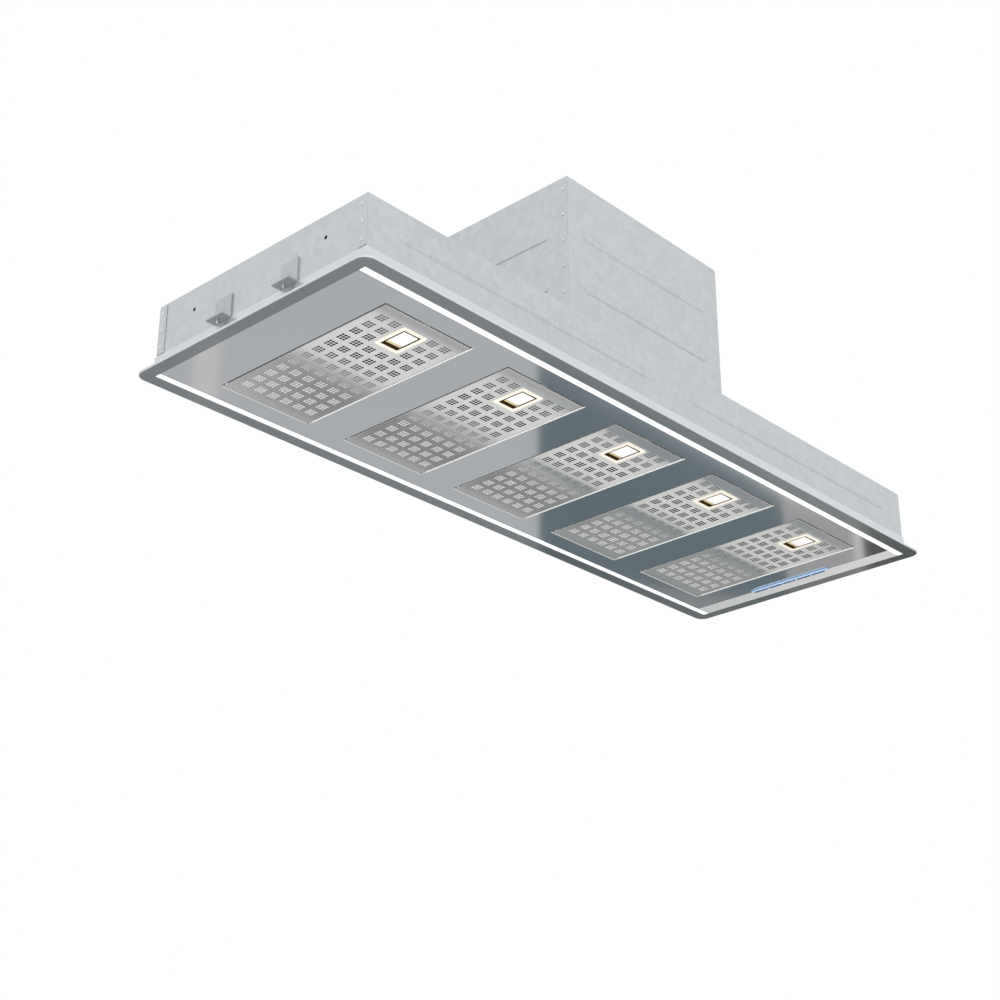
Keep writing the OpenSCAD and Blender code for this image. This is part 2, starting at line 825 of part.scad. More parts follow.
// Sheet metal box round the blower, open at the bottom
module blower_tower() {
    foot_w = 12;
    color("#c2c7c9") {
        difference() {
            span([-tower_w / 2, -tower_d / 2, roof_top], [tower_w / 2, tower_d / 2, tower_top]);
            span([-tower_w / 2 + housing_t, -tower_d / 2 + housing_t, roof_top - over],
                 [tower_w / 2 - housing_t, tower_d / 2 - housing_t, tower_ceiling]);
            translate([0, spigot_y, tower_ceiling - over])
                cylinder(r = spigot_r - spigot_t, h = housing_t + 2 * over);
        }
        ring(tower_w + 2 * foot_w, tower_d + 2 * foot_w, tower_w - slip, tower_d - slip,
             roof_top, roof_top + housing_t);
    }
}

// Outline of the scroll in Y and Z, grown by the thickness of its wall
function scroll_outline(grow, a0) = concat(
    [for (a = [a0 : 10 : 270])
        [axis_y - (scroll_r(a) + grow) * sin(a), axis_z + (scroll_r(a) + grow) * cos(a)]],
    [[axis_y + scroll_max + grow, tower_ceiling], [duct_y0 - grow, tower_ceiling]]
);

module scroll_right() {
    color("#3a3d40")
    difference() {
        union() {
            along_x(0, scroll_half)
                difference() {
                    polygon(scroll_outline(scroll_t, 10));
                    polygon(scroll_outline(0, cutoff_a));
                }
            along_x(scroll_half, scroll_half + scroll_t)
                polygon(scroll_outline(scroll_t, 10));
        }
        translate([0, axis_y, axis_z])
            rod_x(inlet_r, scroll_half - over, scroll_half + scroll_t + over);
    }
}

module scroll_left() {
    mirror([1, 0, 0])
        scroll_right();
}

// Double wheel: centre plate with its hub, blades on both sides and two end rings
module impeller() {
    blades = 28;
    ring_t = 2;
    lean = 14;
    blade_t = 1.2;
    out_r = impeller_r - 1;
    color("#55595c")
    translate([0, axis_y, axis_z]) {
        difference() {
            union() {
                rod_x(impeller_r, -1, 1);
                rod_x(12, -hub_l, hub_l);
            }
            rod_x(shaft_r, -hub_l - over, hub_l + over);
        }
        for (side = [-1, 1])
            difference() {
                rod_x(impeller_r, side > 0 ? blade_l - ring_t : -blade_l, side > 0 ? blade_l : ring_t - blade_l);
                rod_x(blade_in_r, -blade_l - over, blade_l + over);
            }
        for (k = [0 : blades - 1]) {
            a = k * 360 / blades;
            along_x(-blade_l + ring_t / 2, blade_l - ring_t / 2)
                polygon([
                    [(blade_in_r + 1) * cos(a), (blade_in_r + 1) * sin(a)],
                    [out_r * cos(a + lean), out_r * sin(a + lean)],
                    [out_r * cos(a + lean + 1), out_r * sin(a + lean + 1)],
                    [(blade_in_r + 1) * cos(a + blade_t), (blade_in_r + 1) * sin(a + blade_t)]
                ]);
        }
    }
}

module motor_shaft() {
    color("#8d9093")
    translate([0, axis_y, axis_z])
        rod_x(shaft_r, -scroll_half + 2, shaft_end);
}

motor_back = -scroll_half - scroll_t;

// Motor inside the left half of the wheel
module motor() {
    color("#6b6f73")
    translate([0, axis_y, axis_z])
        difference() {
            union() {
                rod_x(motor_r, motor_back + 6, motor_front - 4);
                rod_x(motor_r - 5, motor_back, motor_front - 2);
                rod_x(14, motor_back, motor_front);
            }
            rod_x(shaft_r + shaft_clearance, motor_back - over, motor_front + over);
        }
}

// Three-armed spider that carries the motor on the left half of the scroll
module motor_bracket() {
    arm_w = 14;
    arm_r = inlet_r + 10;
    color("#9b9fa2")
    translate([0, axis_y, axis_z]) {
        rod_x(motor_r - 10, motor_back - 3, motor_back);
        for (a = [90, 210, 330])
            rotate([a, 0, 0])
                span([motor_back - 3, 0, -arm_w / 2], [motor_back, arm_r, arm_w / 2]);
    }
}

// Run capacitor standing on the roof
module capacitor() {
    color("#d8d9d6")
    translate([-tower_w / 2 - capacitor_out, capacitor_y, roof_top]) {
        cylinder(r = cap_r, h = cap_h);
        cylinder(r = cap_r + 2, h = 6);
        for (side = [-1, 1])
            translate([side * 6, 0, cap_h + 4])
                cube([1, 6, 8], center = true);
    }
}

// Base plate and spigot for the duct, with a seat for the flaps
module outlet_collar() {
    seat_w = 3;
    in_r = spigot_r - spigot_t;
    color("#33363a")
    translate([0, spigot_y, 0])
        difference() {
            union() {
                translate([0, 0, tower_top])
                    linear_extrude(base_t)
                        square([base_w, base_w], center = true);
                translate([0, 0, tower_top])
                    cylinder(r = spigot_r, h = base_t + spigot_h);
            }
            // bore below the seat, seat, and bore above it
            translate([0, 0, tower_top - over])
                cylinder(r = in_r, h = over + flap_z - 2 - tower_top);
            cylinder(r = in_r - seat_w, h = 2 * tower_top);
            translate([0, 0, flap_z - 0.2])
                cylinder(r = in_r, h = spigot_h + 2 * base_t);
            for (side = [-1, 1])
                translate([0, side * flap_pin_y, flap_pin_z])
                    rod_x(flap_pin_r, -spigot_r - over, spigot_r + over);
        }
    // bar across the seat, under the inner edges of both flaps
    color("#33363a")
    span([-in_r + slip, spigot_y - 2 * flap_pin_y, flap_z - 2], [in_r - slip, spigot_y + 2 * flap_pin_y, flap_z - 0.2]);
}

// Half-round flap that lifts about its own rod
module flap(side) {
    tube_l = 2 * flap_edge_r - 22;
    y0 = flap_pin_y;
    color("#4a4d50")
    translate([0, spigot_y, 0])
        difference() {
            union() {
                intersection() {
                    translate([0, 0, flap_z])
                        cylinder(r = flap_edge_r, h = flap_t);
                    span([-spigot_r, side > 0 ? y0 : -spigot_r, flap_z - over],
                         [spigot_r, side > 0 ? spigot_r : -y0, flap_z + flap_t + over]);
                }
                translate([0, side * y0, flap_pin_z])
                    rod_x(flap_tube_r, -tube_l / 2, tube_l / 2);
            }
            translate([0, side * y0, flap_pin_z])
                rod_x(flap_pin_r + flap_clearance, -spigot_r, spigot_r);
        }
}

module flap_front() flap(-1);
module flap_rear() flap(1);

module flap_pins() {
    color("#c0c3c5")
    for (side = [-1, 1])
        translate([0, spigot_y + side * flap_pin_y, flap_pin_z])
            rod_x(flap_pin_r, -spigot_r + 0.3, spigot_r - 0.3);
}

// Open box on the roof, with a hole for the gland
module electronics_box() {
    color("#2f3235")
    difference() {
        span([box_x0, -box_w / 2, roof_top], [box_x0 + box_l, box_w / 2, roof_top + box_h]);
        span([box_x0 + wall_t, -box_w / 2 + wall_t, roof_top + wall_t],
             [box_x0 + box_l - wall_t, box_w / 2 - wall_t, roof_top + box_h + over]);
        translate([0, 0, gland_z])
            rod_x(cable_r + 1.5 + slip, box_x0 + box_l - wall_t - over, box_x0 + box_l + over);
        // wires come up from the hood through the floor
        translate([box_x0 + wire_hole_in, 0, roof_top - over])
            cylinder(r = wire_hole_r, h = wall_t + 2 * over);
    }
}

module electronics_lid() {
    lid_t = 2;
    z0 = roof_top + box_h;
    color("#383b3e") {
        span([box_x0, -box_w / 2, z0], [box_x0 + box_l, box_w / 2, z0 + lid_t]);
        difference() {
            span([box_x0 + wall_t + 0.2, -box_w / 2 + wall_t + 0.2, z0 - 4],
                 [box_x0 + box_l - wall_t - 0.2, box_w / 2 - wall_t - 0.2, z0 + lid_t / 2]);
            span([box_x0 + 2 * wall_t, -box_w / 2 + 2 * wall_t, z0 - 5],
                 [box_x0 + box_l - 2 * wall_t, box_w / 2 - 2 * wall_t, z0]);
        }
    }
}

// Board on four standoffs with transformer, terminal block and power parts
module driver_board() {
    z0 = roof_top + wall_t + board_post_h;
    bx0 = box_x0 + board_front;
    bx1 = box_x0 + box_l - board_back;
    half = box_w / 2 - board_side;
    color("#2f6b46") {
        span([bx0, -half, z0], [bx1, half, z0 + 1.6]);
        for (x = [bx0 + 5, bx1 - 5], y = [-half + 5, half - 5])
            translate([x, y, z0 - board_post_h])
                cylinder(r = 3, h = board_post_h);
        translate([bx0 + board_side, -half + board_side, z0])
            cube(coil_size);
        translate([bx0 + 2 * board_side + coil_size[0], -heat_sink_size[1] / 2, z0])
            cube(heat_sink_size);
        translate([bx1 - board_side - terminal_size[0], -terminal_size[1] / 2, z0])
            cube(terminal_size);
    }
}

// Gland through the box's right wall
module cable_gland() {
    neck_r = cable_r + 1.5;
    x_wall = box_x0 + box_l;
    x_in = x_wall - wall_t - gland_nut_t - 2;
    x_out = x_wall + 3 * gland_nut_t + 2;
    color("#1d1f21")
    translate([0, 0, gland_z])
        difference() {
            union() {
                rod_x(neck_r, x_in, x_wall + 1);
                rod_x(neck_r + 4, x_wall, x_wall + gland_nut_t);
                rod_x(neck_r + 2.5, x_wall + gland_nut_t, x_out);
                rod_x(neck_r + 3, x_wall - wall_t - gland_nut_t + 1, x_wall - wall_t);
            }
            rod_x(cable_r, x_in - over, x_out + over);
        }
}

clamp_y = 60;
clamp_w = 30;
clamp_t = 2;
clamp_rise = 34;
clamp_reach = 16;
clamp_foot_z = upstand_h + 0.2;
clamp_screw_x = shell_w / 2 + 9;
clamp_screw_r = 2;

module clamp_places() {
    for (side = [0, 1], y = [-clamp_y, clamp_y])
        mirror([side, 0, 0])
            translate([0, y, 0])
                children();
}

// Angle brackets on the housing's ends, which hold the cabinet board
module cabinet_clamps() {
    color("#a5a9ac")
    clamp_places()
        difference() {
            union() {
                span([shell_w / 2, -clamp_w / 2, clamp_foot_z],
                     [shell_w / 2 + clamp_t, clamp_w / 2, clamp_foot_z + clamp_rise]);
                span([shell_w / 2, -clamp_w / 2, clamp_foot_z],
                     [shell_w / 2 + clamp_reach, clamp_w / 2, clamp_foot_z + clamp_t]);
            }
            translate([clamp_screw_x, 0, clamp_foot_z - over])
                cylinder(r = clamp_screw_r, h = clamp_t + 2 * over);
        }
}

// Screws that press on the cabinet board
module clamp_screws() {
    head_z = clamp_foot_z + clamp_t + 1;
    color("#d0d2d3")
    clamp_places()
        translate([clamp_screw_x, 0, 0]) {
            translate([0, 0, board_t])
                cylinder(r = clamp_screw_r, h = head_z - board_t);
            translate([0, 0, head_z])
                cylinder(r = 4, h = 2.6);
        }
}

// Hexagon nuts that hold the panel's studs to the ledge
module panel_nuts() {
    color("#d0d2d3")
    stud_places(ledge_top)
        difference() {
            cylinder(r = nut_r, h = nut_h, $fn = 6);
            translate([0, 0, -over])
                cylinder(r = stud_r, h = nut_h + 2 * over);
        }
}

flange_frame();
filter_panel();
control_fascia();
led_profiles();
led_diffusers();
led_boards();
key_rail();
key_1();
key_2();
key_3();
key_4();
key_5();
key_board();
control_box();
filter_tray_1();
filter_tray_2();
filter_tray_3();
filter_tray_4();
filter_tray_5();
filter_mesh_1();
filter_mesh_2();
filter_mesh_3();
filter_mesh_4();
filter_mesh_5();
latch_bezel_1();
latch_bezel_2();
latch_bezel_3();
latch_bezel_4();
latch_bezel_5();
latch_slide_1();
latch_slide_2();
latch_slide_3();
latch_slide_4();
latch_slide_5();
latch_springs_1();
latch_springs_2();
latch_springs_3();
latch_springs_4();
latch_springs_5();
housing_shell();
housing_roof();
blower_tower();
scroll_left();
scroll_right();
impeller();
motor_shaft();
motor();
motor_bracket();
capacitor();
outlet_collar();
flap_front();
flap_rear();
flap_pins();
electronics_box();
electronics_lid();
driver_board();
cable_gland();
cabinet_clamps();
clamp_screws();
panel_nuts();
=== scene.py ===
"""Looks of a built-in range hood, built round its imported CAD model. All lengths are in metres."""

import json
import math

import bmesh
import bpy
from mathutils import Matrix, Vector


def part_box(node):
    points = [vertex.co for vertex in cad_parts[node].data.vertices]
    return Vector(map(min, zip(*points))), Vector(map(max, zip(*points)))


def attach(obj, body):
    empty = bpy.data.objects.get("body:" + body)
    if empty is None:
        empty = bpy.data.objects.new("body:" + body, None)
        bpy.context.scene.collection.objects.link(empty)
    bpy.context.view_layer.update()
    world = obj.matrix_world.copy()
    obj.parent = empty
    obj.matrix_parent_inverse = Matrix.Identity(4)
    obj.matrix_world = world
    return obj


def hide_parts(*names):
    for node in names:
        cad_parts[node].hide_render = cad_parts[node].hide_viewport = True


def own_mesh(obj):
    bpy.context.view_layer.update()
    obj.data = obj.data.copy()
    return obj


MM = 0.001

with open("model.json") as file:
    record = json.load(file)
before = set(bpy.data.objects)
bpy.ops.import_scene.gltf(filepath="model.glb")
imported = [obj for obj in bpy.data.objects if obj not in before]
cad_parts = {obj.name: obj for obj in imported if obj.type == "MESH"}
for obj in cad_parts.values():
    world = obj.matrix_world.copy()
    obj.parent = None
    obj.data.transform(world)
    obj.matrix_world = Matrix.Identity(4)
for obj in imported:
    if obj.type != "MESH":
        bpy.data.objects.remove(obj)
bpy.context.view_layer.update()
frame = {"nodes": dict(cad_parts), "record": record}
cad = frame["nodes"]

FILTERS = range(1, 6)
KEYS = range(1, 6)
FACE_Z = -3.0 * MM


# Shader maths

class Signal:
    """A node socket that Python's operators can work on."""

    def __init__(self, paint, socket):
        self.paint = paint
        self.socket = socket

    def maths(self, operation, *values):
        return self.paint.node("ShaderNodeMath", {"operation": operation}, values)

    def __add__(self, other):
        return self.maths("ADD", self, other)

    def __radd__(self, other):
        return self.maths("ADD", other, self)

    def __sub__(self, other):
        return self.maths("SUBTRACT", self, other)

    def __rsub__(self, other):
        return self.maths("SUBTRACT", other, self)

    def __mul__(self, other):
        return self.maths("MULTIPLY", self, other)

    def __rmul__(self, other):
        return self.maths("MULTIPLY", other, self)

    def above(self, edge):
        return self.maths("GREATER_THAN", self, edge)

    def clamped(self):
        return self.maths("MINIMUM", self.maths("MAXIMUM", self, 0.0), 1.0)


class Paint:
    """One material or world, written as short expressions."""

    def __init__(self, name, world=False):
        library = bpy.data.worlds if world else bpy.data.materials
        self.owner = library.new(name)
        self.owner.use_nodes = True
        self.tree = self.owner.node_tree
        self.tree.nodes.clear()
        self.output = self.tree.nodes.new("ShaderNodeOutputWorld" if world else "ShaderNodeOutputMaterial")

    def plug(self, socket, value):
        if isinstance(value, Signal):
            self.tree.links.new(value.socket, socket)
        elif value is not None:
            socket.default_value = value

    def node(self, kind, settings, values, out=0):
        """A node of a type, from its settings and the values or links of its sockets."""
        made = self.tree.nodes.new(kind)
        for name, value in settings.items():
            setattr(made, name, value)
        sockets = values.items() if isinstance(values, dict) else enumerate(values)
        for place, value in sockets:
            self.plug(made.inputs[place], value)
        return Signal(self, made.outputs[out])

    def place(self):
        """The point on the piece, in metres, as a vector and as its three numbers."""
        point = self.node("ShaderNodeTexCoord", {}, {}, out="Object")
        parts = self.node("ShaderNodeSeparateXYZ", {}, [point]).socket.node
        return point, [Signal(self, parts.outputs[axis]) for axis in range(3)]

    def stretched(self, point, scale):
        return self.node("ShaderNodeVectorMath", {"operation": "MULTIPLY"}, [point, scale])

    def noise(self, point, scale, detail=2.0, roughness=0.5):
        values = {"Vector": point, "Scale": scale, "Detail": detail, "Roughness": roughness}
        return self.node("ShaderNodeTexNoise", {}, values)

    def blend(self, share, first, second):
        """A colour between two, by share."""
        return self.node("ShaderNodeMix", {"data_type": "RGBA"}, {0: share, 6: first, 7: second}, out=2)

    def between(self, share, low, high):
        """A number between two, by share."""
        return share * (high - low) + low

    def ramp(self, value, start, end, height):
        """A smooth rise from 0 to the height while the value goes from start to end."""
        values = {"Value": value, "From Min": start, "From Max": end, "To Min": 0.0, "To Max": height}
        return self.node("ShaderNodeMapRange", {"interpolation_type": "SMOOTHSTEP"}, values)

    def bump(self, height, strength, depth, under=None):
        values = {"Strength": strength, "Distance": depth, "Height": height, "Normal": under}
        return self.node("ShaderNodeBump", {}, values)

    def show(self, surface):
        """Puts a shader on the output, and gives the finished material or world."""
        self.plug(self.output.inputs[0], surface)
        return self.owner

    def finish(self, **values):
        """Makes the surface from the named sockets of one Principled shader."""
        sockets = {name.replace("_", " "): value for name, value in values.items()}
        return self.show(self.node("ShaderNodeBsdfPrincipled", {}, sockets))


def rgb(red, green, blue):
    """A colour from its screen values, 0 to 255."""
    linear = []
    for value in (red, green, blue):
        share = value / 255
        linear.append(share / 12.92 if share <= 0.04045 else ((share + 0.055) / 1.055) ** 2.4)
    return (*linear, 1.0)


def shade(colour, factor):
    return (*(min(1.0, c * factor) for c in colour[:3]), 1.0)


# Finishes

# heights above which the border is folded and the panel is bent up round its openings
FOLD_Z = FACE_Z + 0.1 * MM
BEND_Z = FACE_Z + 0.06 * MM

# where the openings' rear edges begin, along the hood's depth, and behind which their painted highlight is
# darker
REAR_EDGES_Y = 140 * MM

# radians in a metre, for the sines that draw the mesh's wires
WIRE_ANGLE = 2600.0


def brushed(paint, point, grain):
    """Fine brush lines, and the tone that they make with a slow cloud."""
    lines = paint.noise(paint.stretched(point, grain), 1.0, 3.0, 0.6)
    cloud = paint.noise(point, 9.0, 2.0)
    return lines, (lines * 0.5 + cloud * 0.5).clamped()


def brushed_steel(name, colour, roughness, grain=(40, 900, 900), metallic=1.0):
    paint = Paint(name)
    point, _ = paint.place()
    lines, tone = brushed(paint, point, grain)
    return paint.finish(
        Base_Color=paint.blend(tone, shade(colour, 0.93), shade(colour, 1.06)),
        Metallic=metallic,
        Roughness=paint.between(tone, roughness * 0.85, roughness * 1.15),
        Normal=paint.bump(lines, 0.25, 0.02 * MM),
    )


def border_finish(name, face, fold):
    """Satin face below, with the folded rim and the upstand left in the paler mill finish."""
    paint = Paint(name)
    point, (_, _, z) = paint.place()
    lines, tone = brushed(paint, point, (30, 1000, 1000))
    upper = z.above(FOLD_Z)
    dark = paint.blend(tone, shade(face, 0.94), shade(face, 1.06))
    pale = paint.blend(tone, shade(fold, 0.92), shade(fold, 1.06))
    return paint.finish(
        Base_Color=paint.blend(upper, dark, pale),
        Metallic=paint.between(upper, 0.75, 0.8),
        Roughness=paint.between(upper, 0.12, 0.34),
        Normal=paint.bump(lines, 0.08, 0.01 * MM),
    )


def polished_steel(name, colour, roughness, edge):
    """Polished face below, with a painted highlight on the bent-up edges round the openings, bright in
    front and painted darker behind.
    """
    paint = Paint(name)
    point, (_, y, z) = paint.place()
    cloud = paint.noise(point, 5.0, 3.0)
    fine = paint.noise(paint.stretched(point, (1400, 60, 60)), 1.0, 2.0)
    turned_up = z.above(BEND_Z)
    face = paint.blend(cloud, shade(colour, 0.97), shade(colour, 1.03))
    # painted highlight: the bent-up edges round the openings are near white, and painted darker behind
    painted_highlight = paint.blend(y.above(REAR_EDGES_Y), edge, shade(edge, 0.6))
    polish = paint.between(cloud * 0.6 + fine * 0.4, roughness * 0.6, roughness * 1.4)
    return paint.finish(
        Base_Color=paint.blend(turned_up, face, painted_highlight),
        Metallic=paint.between(turned_up, 1.0, 0.4),
        Roughness=polish + turned_up * 0.3,
        Normal=paint.bump(fine, 0.04, 0.01 * MM),
    )


def filter_steel(name, colour, roughness):
    """Satin sheet, pressed so that its front rows lean forwards and its rear rows backwards."""
    paint = Paint(name)
    point, (_, y, _) = paint.place()
    grain = paint.noise(paint.stretched(point, (60, 1200, 1200)), 1.0, 3.0)
    cloud = paint.noise(point, 14.0, 2.0)
    margin_lean = paint.ramp(y, -8 * MM, 20 * MM, 2.0 * MM)
    front_lean = paint.ramp(y, 14 * MM, 170 * MM, 17.0 * MM)
    rear_lean = paint.ramp(y, 145 * MM, 300 * MM, 12.0 * MM)
    under = paint.bump(front_lean - margin_lean - rear_lean, 1.0, 1.0)
    return paint.finish(
        Base_Color=paint.blend(cloud * 0.6 + grain * 0.4, shade(colour, 0.94), shade(colour, 1.05)),
        Metallic=0.9,
        Roughness=paint.between(grain, roughness * 0.85, roughness * 1.15),
        Normal=paint.bump(grain, 0.15, 0.02 * MM, under),
    )


def row_tone(paint, along, lit, front, rear):
    """Painted light and shade of the holes by their row: lit beside the light strip, then painted dark,
    then painted bright.
    """
    beyond = paint.ramp(along, 20 * MM, 90 * MM, 1.0)
    painted_bright_share = paint.ramp(along, 105 * MM, 215 * MM, 1.0)
    return paint.blend(painted_bright_share, paint.blend(beyond, lit, front), rear)


def hole_edge(name, lit, front, rear):
    """Punched walls of the holes, with painted light and shade by row."""
    paint = Paint(name)
    point, (_, y, _) = paint.place()
    grain = paint.noise(point, 900.0, 2.0)
    return paint.finish(
        Base_Color=row_tone(paint, y, lit, front, rear),
        Metallic=0.2,
        Roughness=0.4,
        Normal=paint.bump(grain, 0.2, 0.02 * MM),
    )


def knitted_mesh(name, lit, front, rear, top):
    """Crossed wires of a fine mesh, with the painted light and shade of the holes below and one tone
    above, and painted shade in the gaps between the wires.
    """
    paint = Paint(name)
    point, (x, y, z) = paint.place()
    ripple = paint.noise(point, 60.0, 2.0)
    warp = x.maths("SINE", x * WIRE_ANGLE + ripple * 2.0)
    weft = y.maths("SINE", y * WIRE_ANGLE - ripple * 2.0)
    wires = warp.maths("MAXIMUM", warp, weft) * 0.5 + 0.5
    along = y - FILTER_FRONT
    below = row_tone(paint, along, lit, front, rear)
    # painted shade: the gaps between the wires are darker than the wires, below and above
    gap_shade_below = row_tone(paint, along, shade(lit, 0.6), shade(front, 0.4), shade(rear, 0.6))
    above = z.above((mesh_low.z + mesh_high.z) / 2)
    colour = paint.blend(above, below, top)
    gap_shade = paint.blend(above, gap_shade_below, shade(top, 0.3))
    return paint.finish(
        Base_Color=paint.blend(wires, gap_shade, colour),
        Metallic=0.3,
        Roughness=0.4,
        Normal=paint.bump(wires, 0.7, 0.2 * MM),
    )


def zinc_sheet(name, colour, roughness=0.36):
    """Hot dipped sheet with its frosty crystals."""
    paint = Paint(name)
    point, _ = paint.place()
    crystals = paint.node(
        "ShaderNodeTexVoronoi", {"feature": "F1"}, {"Vector": point, "Scale": 95.0}, out="Color"
    )
    tone = paint.node("ShaderNodeSeparateColor", {}, [crystals])
    cloud = paint.noise(point, 7.0, 3.0)
    mix = (tone * 0.55 + cloud * 0.45).clamped()
    return paint.finish(
        Base_Color=paint.blend(mix, shade(colour, 0.88), shade(colour, 1.07)),
        Metallic=0.85,
        Roughness=paint.between(mix, roughness * 0.8, roughness * 1.25),
        Normal=paint.bump(tone, 0.12, 0.1 * MM),
    )


def moulded_plastic(name, colour, roughness=0.5, texture=900.0):
    paint = Paint(name)
    point, _ = paint.place()
    grit = paint.noise(point, texture, 2.0)
    cloud = paint.noise(point, 11.0, 2.0)
    return paint.finish(
        Base_Color=paint.blend(cloud, shade(colour, 0.92), shade(colour, 1.06)),
        Roughness=paint.between(cloud, roughness * 0.9, roughness * 1.1),
        Normal=paint.bump(grit, 0.3, 0.03 * MM),
    )


def lit_plastic(name, colour, strength, roughness=0.3, speckle=0.06):
    paint = Paint(name)
    point, _ = paint.place()
    cloud = paint.noise(point, 120.0, 2.0)
    glow = paint.blend(cloud, shade(colour, 1.0 - speckle), colour)
    return paint.finish(
        Base_Color=glow, Roughness=roughness, Emission_Color=glow, Emission_Strength=strength
    )


def bright_metal(name, colour, roughness=0.25):
    paint = Paint(name)
    point, _ = paint.place()
    cloud = paint.noise(point, 160.0, 3.0)
    return paint.finish(
        Base_Color=paint.blend(cloud, shade(colour, 0.85), shade(colour, 1.08)),
        Metallic=1.0,
        Roughness=paint.between(cloud, roughness * 0.7, roughness * 1.3),
        Normal=paint.bump(cloud, 0.15, 0.05 * MM),
    )


# Sizes of the filters and their latches, some of them read from the model's boxes

tray_low, tray_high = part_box("filter_tray_3")
mesh_low, mesh_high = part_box("filter_mesh_3")
bezel_low, bezel_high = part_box("latch_bezel_3")
slide_low, slide_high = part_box("latch_slide_3")
spring_low, spring_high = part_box("latch_springs_3")
PIVOT_REACH = tray_high.x
FILTER_W = 140.5 * MM
FILTER_L = tray_high.y - tray_low.y
FILTER_H = tray_high.z - tray_low.z
FILTER_FRONT = tray_low.y
FILTER_Z = tray_low.z
TRAY_T = 0.8 * MM
TRAY_EDGE = 0.25 * MM
TRAY_HEM = 5.0 * MM
PIVOT_IN = 3.5 * MM
TILE_PITCH_X = 21.0 * MM
TILE_PITCH_Y = 21.9 * MM
TILE_COLUMNS = 6
TILE_ROWS = 12
HOLE_PITCH = 4.6 * MM
HOLE_R = 2.0 * MM
HOLE_SIDES = 12
HOLES_ACROSS = 3
TILE = HOLES_ACROSS * HOLE_PITCH
TILE_MARGIN = (FILTER_L - (TILE_ROWS - 1) * TILE_PITCH_Y - TILE) / 2
FIRST_ROW = TILE_MARGIN + TILE / 2
BEZEL_W = bezel_high.x - bezel_low.x
BEZEL_L = bezel_high.y - bezel_low.y
HANDLE_Y = (bezel_low.y + bezel_high.y) / 2 - FILTER_FRONT
WINDOW_W = 28.0 * MM
WINDOW_L = 42.0 * MM
CUP_T = 0.8 * MM
BEZEL_T = 0.8 * MM
CUP_DEPTH = 7.0 * MM
WIRE = 0.6 * MM
SPRING_TURNS = 9
SPRING_LENGTH = spring_high.y - spring_low.y
SPRING_R = (spring_high.z - spring_low.z) / 2
SPRING_X = spring_high.x - SPRING_R
SPRING_Z = (spring_low.z + spring_high.z) / 2


def filter_x(number):
    low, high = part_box("filter_tray_%d" % number)
    return (low.x + high.x) / 2


BORDER = border_finish("border steel", rgb(130, 136, 138), rgb(214, 217, 219))
# the last colour is the painted highlight on the bent-up edges round the openings
PANEL = polished_steel("panel steel", rgb(205, 207, 208), 0.075, rgb(252, 252, 250))
FASCIA = brushed_steel("fascia steel", rgb(238, 238, 236), 0.3, (900, 30, 900), 0.45)
FILTER = filter_steel("filter steel", rgb(214, 214, 213), 0.22)
# painted light and shade of the holes and the mesh below them by row: lit at the front, dark in the middle
# rows, bright at the rear
LIT_ROWS = rgb(140, 142, 142)
PAINTED_DARK_ROWS = rgb(30, 31, 32)
PAINTED_BRIGHT_ROWS = rgb(238, 238, 236)
HOLE = hole_edge("hole edge", LIT_ROWS, PAINTED_DARK_ROWS, PAINTED_BRIGHT_ROWS)
MESH = knitted_mesh("mesh aluminium", LIT_ROWS, PAINTED_DARK_ROWS, PAINTED_BRIGHT_ROWS, rgb(196, 198, 200))
# painted light: the bezel glows a little, though it is no lamp
BEZEL = lit_plastic("bezel", rgb(254, 247, 230), 0.08, 0.25, 0.02)
# painted shade: the dark brown stands for the shade inside the finger cup and on the plate's sides
RECESS_SHADE = moulded_plastic("finger cup", rgb(74, 54, 24), 0.4)
# painted light: the latch plate glows a little, though it is no lamp
LATCH = lit_plastic("latch white", rgb(253, 252, 250), 0.12, 0.25, 0.02)
GOLD = bright_metal("finger rib gold", rgb(244, 226, 176), 0.28)
PROFILE = brushed_steel("profile aluminium", rgb(200, 202, 203), 0.32)
OPAL = lit_plastic("opal", rgb(248, 250, 252), 0.5, 0.35, 0.02)
LED_BOARD = moulded_plastic("led board", rgb(236, 232, 214), 0.5)
RAIL = lit_plastic("rail blue", rgb(142, 176, 212), 0.25)
KEY = lit_plastic("key light", rgb(186, 206, 228), 0.45)
KEY_FACE = lit_plastic("key face", rgb(38, 78, 134), 0.02)
CIRCUIT = moulded_plastic("circuit board", rgb(36, 96, 62), 0.4, 400.0)
BLACK = moulded_plastic("black plastic", rgb(40, 42, 45), 0.55)
HOUSING = zinc_sheet("housing sheet", rgb(196, 201, 204))
SCROLL = moulded_plastic("scroll plastic", rgb(62, 65, 68), 0.5)
WHEEL = moulded_plastic("impeller plastic", rgb(92, 97, 100), 0.45)
FLAP = moulded_plastic("flap plastic", rgb(78, 81, 84), 0.5)
BRIGHT = bright_metal("bright steel", rgb(214, 216, 218))
ZINC = zinc_sheet("zinc steel", rgb(182, 186, 189), 0.3)
MOTOR = moulded_plastic("motor paint", rgb(112, 116, 120), 0.4, 300.0)
CAPACITOR = moulded_plastic("capacitor can", rgb(222, 222, 218), 0.35)

